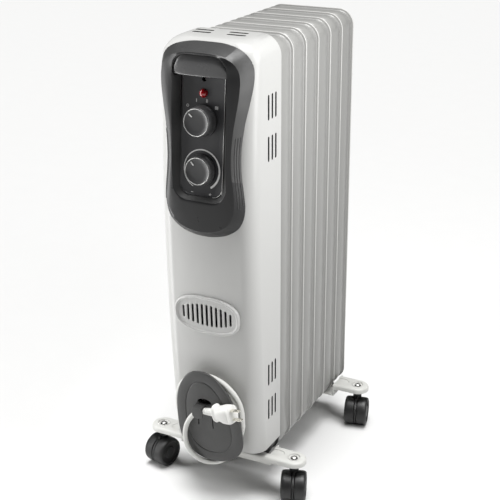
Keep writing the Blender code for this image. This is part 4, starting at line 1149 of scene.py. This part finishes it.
def build_disc():
    """The egg shaped plate that keeps the cord on its hub, with a raised contour, a hole and slots."""
    outline = smooth_outline(DISC_OUTLINE, 0.0018)
    c, s = math.cos(DISC_TURN), math.sin(DISC_TURN)

    def ring(inset, out):
        inner = [(x * (1.0 - inset / 0.0492), z * (1.0 - inset / 0.0705)) for x, z in outline]
        return [(x * c - z * s, -out, x * s + z * c) for x, z in inner]

    rings = [ring(inset, DISC_BACK + rise)
             for inset, rise in ((0.0014, 0.0), (0.0003, 0.0004), (0.0, 0.0012), (0.0, 0.0025),
                                 (0.0003, 0.0033))]
    rings += [ring(inset, DISC_FACE + rise)
              for inset, rise in ((0.0010, -0.0003), (0.0019, 0.0), (0.0140, 0.0003), (0.0147, 0.0001),
                                  (0.0151, -0.0005), (0.0157, -0.0005), (0.0164, 0.0), (0.0172, 0.0002))]
    disc = new_object("wrap_disc", loft(rings))
    hole = [(x - 0.0025, z) for x, z in superellipse(0.0105, 0.0050, 0.0254, 48, 2.0)]
    openings = (hole, slot_outline(-0.0139, -0.0086, 0.0007, 0.0050),
                slot_outline(0.0080, -0.0061, 0.0007, 0.0085))
    cut(disc, *(slab(opening, -0.030, -0.010) for opening in openings))
    soften(disc, 0.0003, 1, 50.0)
    settle(place_in_storage(disc), "disc_plastic", "cord_wrap_disc")

    lip = [(x - 0.0095, z) for x, z in rounded_rect(0.0080, 0.0031, 0.0201, 0.0050, 8)]

    def lip_ring(scale, out):
        return [(-0.0095 + (x + 0.0095) * scale, -out, 0.0116 + (z - 0.0116) * scale) for x, z in lip]

    clip = new_object("cord_clip", loft([lip_ring(0.94, 0.0275), lip_ring(1.0, 0.0278), lip_ring(1.0, 0.0289),
                                         lip_ring(0.97, 0.0292), lip_ring(0.90, 0.0293)]))
    leg = slab(rounded_rect(0.0072, 0.0177, 0.0200, 0.0008, 3), -0.0280, -DISC_FACE + 0.0006)
    fuse(clip, moved(leg, (-0.0095, 0.0, 0.0)))
    settle(place_in_storage(clip), "disc_plastic")


# ---------------------------------------------------------------- feet and casters

def stadium(half_length, half_width, segments=16):
    """Points of a bar with round ends in the XY plane."""
    points = []
    straight = half_length - half_width
    for centre, start in ((straight, -90.0), (-straight, 90.0)):
        for k in range(segments + 1):
            angle = math.radians(start + 180.0 * k / segments)
            points.append((centre + half_width * math.cos(angle), half_width * math.sin(angle)))
    return points


def foot_form(inset, top, bottom, rounding):
    """The pressed bar: straight skirt and a rounded top edge, pulled in by an inset."""
    length, width = CASTER_X + FOOT_HALF_WIDTH - inset, FOOT_HALF_WIDTH - inset
    rings = [[(x, y, bottom) for x, y in stadium(length, width)]]
    for k in range(7):
        angle = math.radians(90.0 * k / 6.0)
        tuck = rounding * (1.0 - math.cos(angle))
        z = top - rounding + rounding * math.sin(angle)
        rings.append([(x, y, z) for x, y in stadium(length - tuck, width - tuck)])
    return loft(rings)


def build_foot(name, centre_y, seat_y, wall, bolt_y):
    """A pressed bar with round ends, whose middle drops to a seat that the fins stand on."""
    bottom = FOOT_TOP_Z - FOOT_SKIRT
    bar = new_object(f"{name}_pressing", foot_form(0.0, FOOT_TOP_Z, bottom, 0.0034))
    low, high = (y - centre_y for y in seat_y)
    gap_low = low + FOOT_SHEET if wall else -0.030
    cut(bar, foot_form(FOOT_SHEET, FOOT_TOP_Z - FOOT_SHEET, bottom - 0.010, 0.0022),
        box((0.0, (gap_low + 0.040) / 2.0, FOOT_TOP_Z), (2.0 * SEAT_HALF_X, 0.040 - gap_low, 0.030)))
    seat_low = SEAT_TOP_Z - FOOT_SHEET
    wide = 2.0 * (SEAT_HALF_X + FOOT_SHEET)
    parts = [box((0.0, (low + high) / 2.0, SEAT_TOP_Z - FOOT_SHEET / 2.0), (wide, high - low, FOOT_SHEET))]
    top = FOOT_TOP_Z - FOOT_SHEET * 0.4
    for side in (-1.0, 1.0):
        end_x = side * (SEAT_HALF_X + FOOT_SHEET / 2.0)
        parts.append(box((end_x, (low + high) / 2.0, (seat_low + top) / 2.0),
                         (FOOT_SHEET, high - low, top - seat_low)))
    if wall:
        parts.append(box((0.0, low + FOOT_SHEET / 2.0, (seat_low + top) / 2.0),
                         (wide, FOOT_SHEET, top - seat_low)))
    for side in (-1.0, 1.0):
        collar = turned([(0.0088, -0.0012), (0.0088, FOOT_SHEET + 0.0030)], 40)
        parts.append(moved(collar, (side * CASTER_X, 0.0, FOOT_TOP_Z), Y_TO_DOWN))
    fuse(bar, *parts)
    holes = []
    for side in (-1.0, 1.0):
        cup = turned([(STEM_RADIUS + 0.0005, -0.020), (STEM_RADIUS + 0.0005, -0.0012), (0.0072, -0.0010),
                      (0.0080, 0.0002), (0.0086, 0.0030)], 40)
        holes.append(moved(cup, (side * CASTER_X, 0.0, FOOT_TOP_Z), Y_TO_UP))
        bolt = turned([(0.0031, -0.010), (0.0031, 0.010)], 24)
        holes.append(moved(bolt, (side * UBOLT_HALF, bolt_y - centre_y, SEAT_TOP_Z), Y_TO_DOWN))
        dent = []
        for lift, scale in ((-0.0014, 0.93), (0.0001, 1.0), (0.0020, 1.03)):
            ring = []
            for x, y in slot_outline(0.0, 0.0, 0.0165, 0.0086, 10):
                ring.append((side * 0.0720 + x * scale * 1.08, y * scale, FOOT_TOP_Z + lift))
            dent.append(ring)
        holes.append(loft(dent))
    cut(bar, *holes)
    soften(bar, 0.0004, 2, 42.0)
    bar.location = (0.0, centre_y, 0.0)
    settle(bar, "foot_enamel", name)


def build_caster(key, x, y):
    """Twin wheel caster: the housing between two barrel shaped wheels, with its stem."""
    heading = math.radians(CASTER_HEADINGS[key])
    place = Matrix.Translation((x, y, 0.0)) @ Matrix.Rotation(heading, 4, "Z")
    hub = Vector((0.0, -TRAIL, WHEEL_RADIUS))

    web = turned([(0.0200, -WEB_HALF), (0.0207, -WEB_HALF * 0.8), (0.0209, 0.0), (0.0207, WEB_HALF * 0.8),
                  (0.0200, WEB_HALF)], 64)
    housing = new_object(f"{key}_housing", moved(web, hub, Y_TO_RIGHT))
    neck_top = FOOT_TOP_Z - FOOT_SHEET - 0.0037
    neck = turned([(0.0060, 0.0415), (0.0064, 0.0420), (0.0064, 0.0452), (0.0058, 0.0458), (0.0058, 0.0470),
                   (0.0064, 0.0476), (0.0064, 0.0512), (0.0056, 0.0535), (0.0056, neck_top),
                   (STEM_RADIUS, neck_top), (STEM_RADIUS, FOOT_TOP_Z - 0.0006),
                   (0.0038, FOOT_TOP_Z + 0.0003)], 40)
    bridge = slab(rounded_rect(0.0090, 0.0340, 0.0452, 0.0030, 5), -WEB_HALF, WEB_HALF)
    moved(bridge, (0.0, -TRAIL * 0.5, 0.0), Y_TO_RIGHT)
    fuse(housing, bridge, moved(neck, rotation=Y_TO_UP))
    cut(housing, moved(turned([(0.0023, -0.010), (0.0023, 0.010)], 32), hub, Y_TO_RIGHT))
    soften(housing, 0.0003, 1, 50.0)
    housing.data.transform(place)
    settle(housing, "caster_nylon", f"{key}_caster_housing", body=f"{key}_caster")

    rivet = turned([(radius, FOOT_TOP_Z + rise)
                    for radius, rise in ((0.0040, 0.0004), (0.0040, 0.0007), (0.0032, 0.0013),
                                         (0.0018, 0.0017), (0.0003, 0.0018))], 32)
    rivet = new_object(f"{key}_stem_cap", moved(rivet, rotation=Y_TO_UP))
    rivet.data.transform(place)
    settle(rivet, "caster_nylon", body=f"{key}_caster", finish="zinc_steel")

    for label, side in (("left", -1.0), ("right", 1.0)):
        inner = WEB_HALF + 0.0004
        outer = inner + WHEEL_WIDTH
        r = WHEEL_RADIUS
        profile = [(0.0024, inner + 0.0004)]
        profile += [(r * share, inner + depth)
                    for share, depth in ((0.90, 0.0), (0.972, 0.0002), (0.996, 0.0008), (1.0, 0.0018),
                                         (1.0, 0.0070), (0.996, 0.0098), (0.980, 0.0122), (0.950, 0.0138))]
        profile += [(r * share, outer - depth)
                    for share, depth in ((0.905, 0.0003), (0.860, 0.0), (0.800, 0.0002), (0.775, 0.0009),
                                         (0.760, 0.0024), (0.700, 0.0030), (0.500, 0.0030), (0.440, 0.0026),
                                         (0.400, 0.0012), (0.360, 0.0008))]
        profile.append((0.0006, outer - 0.0004))
        wheel = moved(turned([(radius, side * height) for radius, height in profile], 72), hub, Y_TO_RIGHT)
        wheel = new_object(f"{key}_wheel_{label}_moulding", wheel)
        wheel.data.transform(place)
        settle(wheel, "wheel_nylon", f"{key}_wheel_{label}", body=f"{key}_wheel_{label}_rolling")


def build_running_gear():
    front_y, rear_y = FOOT_CENTRES_Y
    build_foot("front_foot", front_y, (fin_front_y(0) - 0.0021, -0.0800), True, UBOLT_Y[0])
    build_foot("rear_foot", rear_y, (0.1130, 0.1500), False, UBOLT_Y[1])
    for end, y in (("front", front_y), ("rear", rear_y)):
        for label, x in (("left", -CASTER_X), ("right", CASTER_X)):
            build_caster(f"{end}_{label}", x, y)


# ---------------------------------------------------------------- carried over nodes

def finish_nodes():
    """Give every node that stays its procedural finish, from the slot listed for it below."""
    slots = {
        "charcoal_plastic": ("cord_hub",),
        "plain_steel": ("front_top_plug", "rear_top_plug", "rear_bottom_plug", "element_flange",
                        "heating_element", "selector_shaft", "thermostat_shaft", "thermal_cutoff",
                        *(f"{key}_axle" for key in CASTER_HEADINGS)),
        "zinc_steel": ("front_u_bolt", "rear_u_bolt", "front_wing_nut_left", "front_wing_nut_right",
                       "rear_wing_nut_left", "rear_wing_nut_right", "heat_shield"),
        "bakelite": ("selector_switch", "thermostat_body", "tip_over_switch", "terminal_block"),
    }
    for slot, names in slots.items():
        for name in names:
            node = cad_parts[name]
            for index in range(len(node.material_slots)):
                node.material_slots[index].material = MATS[slot]


MATS = build_materials()
build_camera()
plug, blades = build_plug()
build_cord(build_gland())
build_studio()
build_cover()
for fin in range(FIN_COUNT):
    build_fin(fin)
build_bezel()
settle(new_object("hood_bar", hood_solid(0.0)), "gloss_plastic", "handle_hood", finish="hood")
build_plate()
build_marks()
build_knob("selector_knob", SELECTOR_Z, -47.0)
build_knob("thermostat_knob", THERMOSTAT_Z, -41.0)
build_lamp()
build_louvre()
build_disc()
build_running_gear()
finish_nodes()
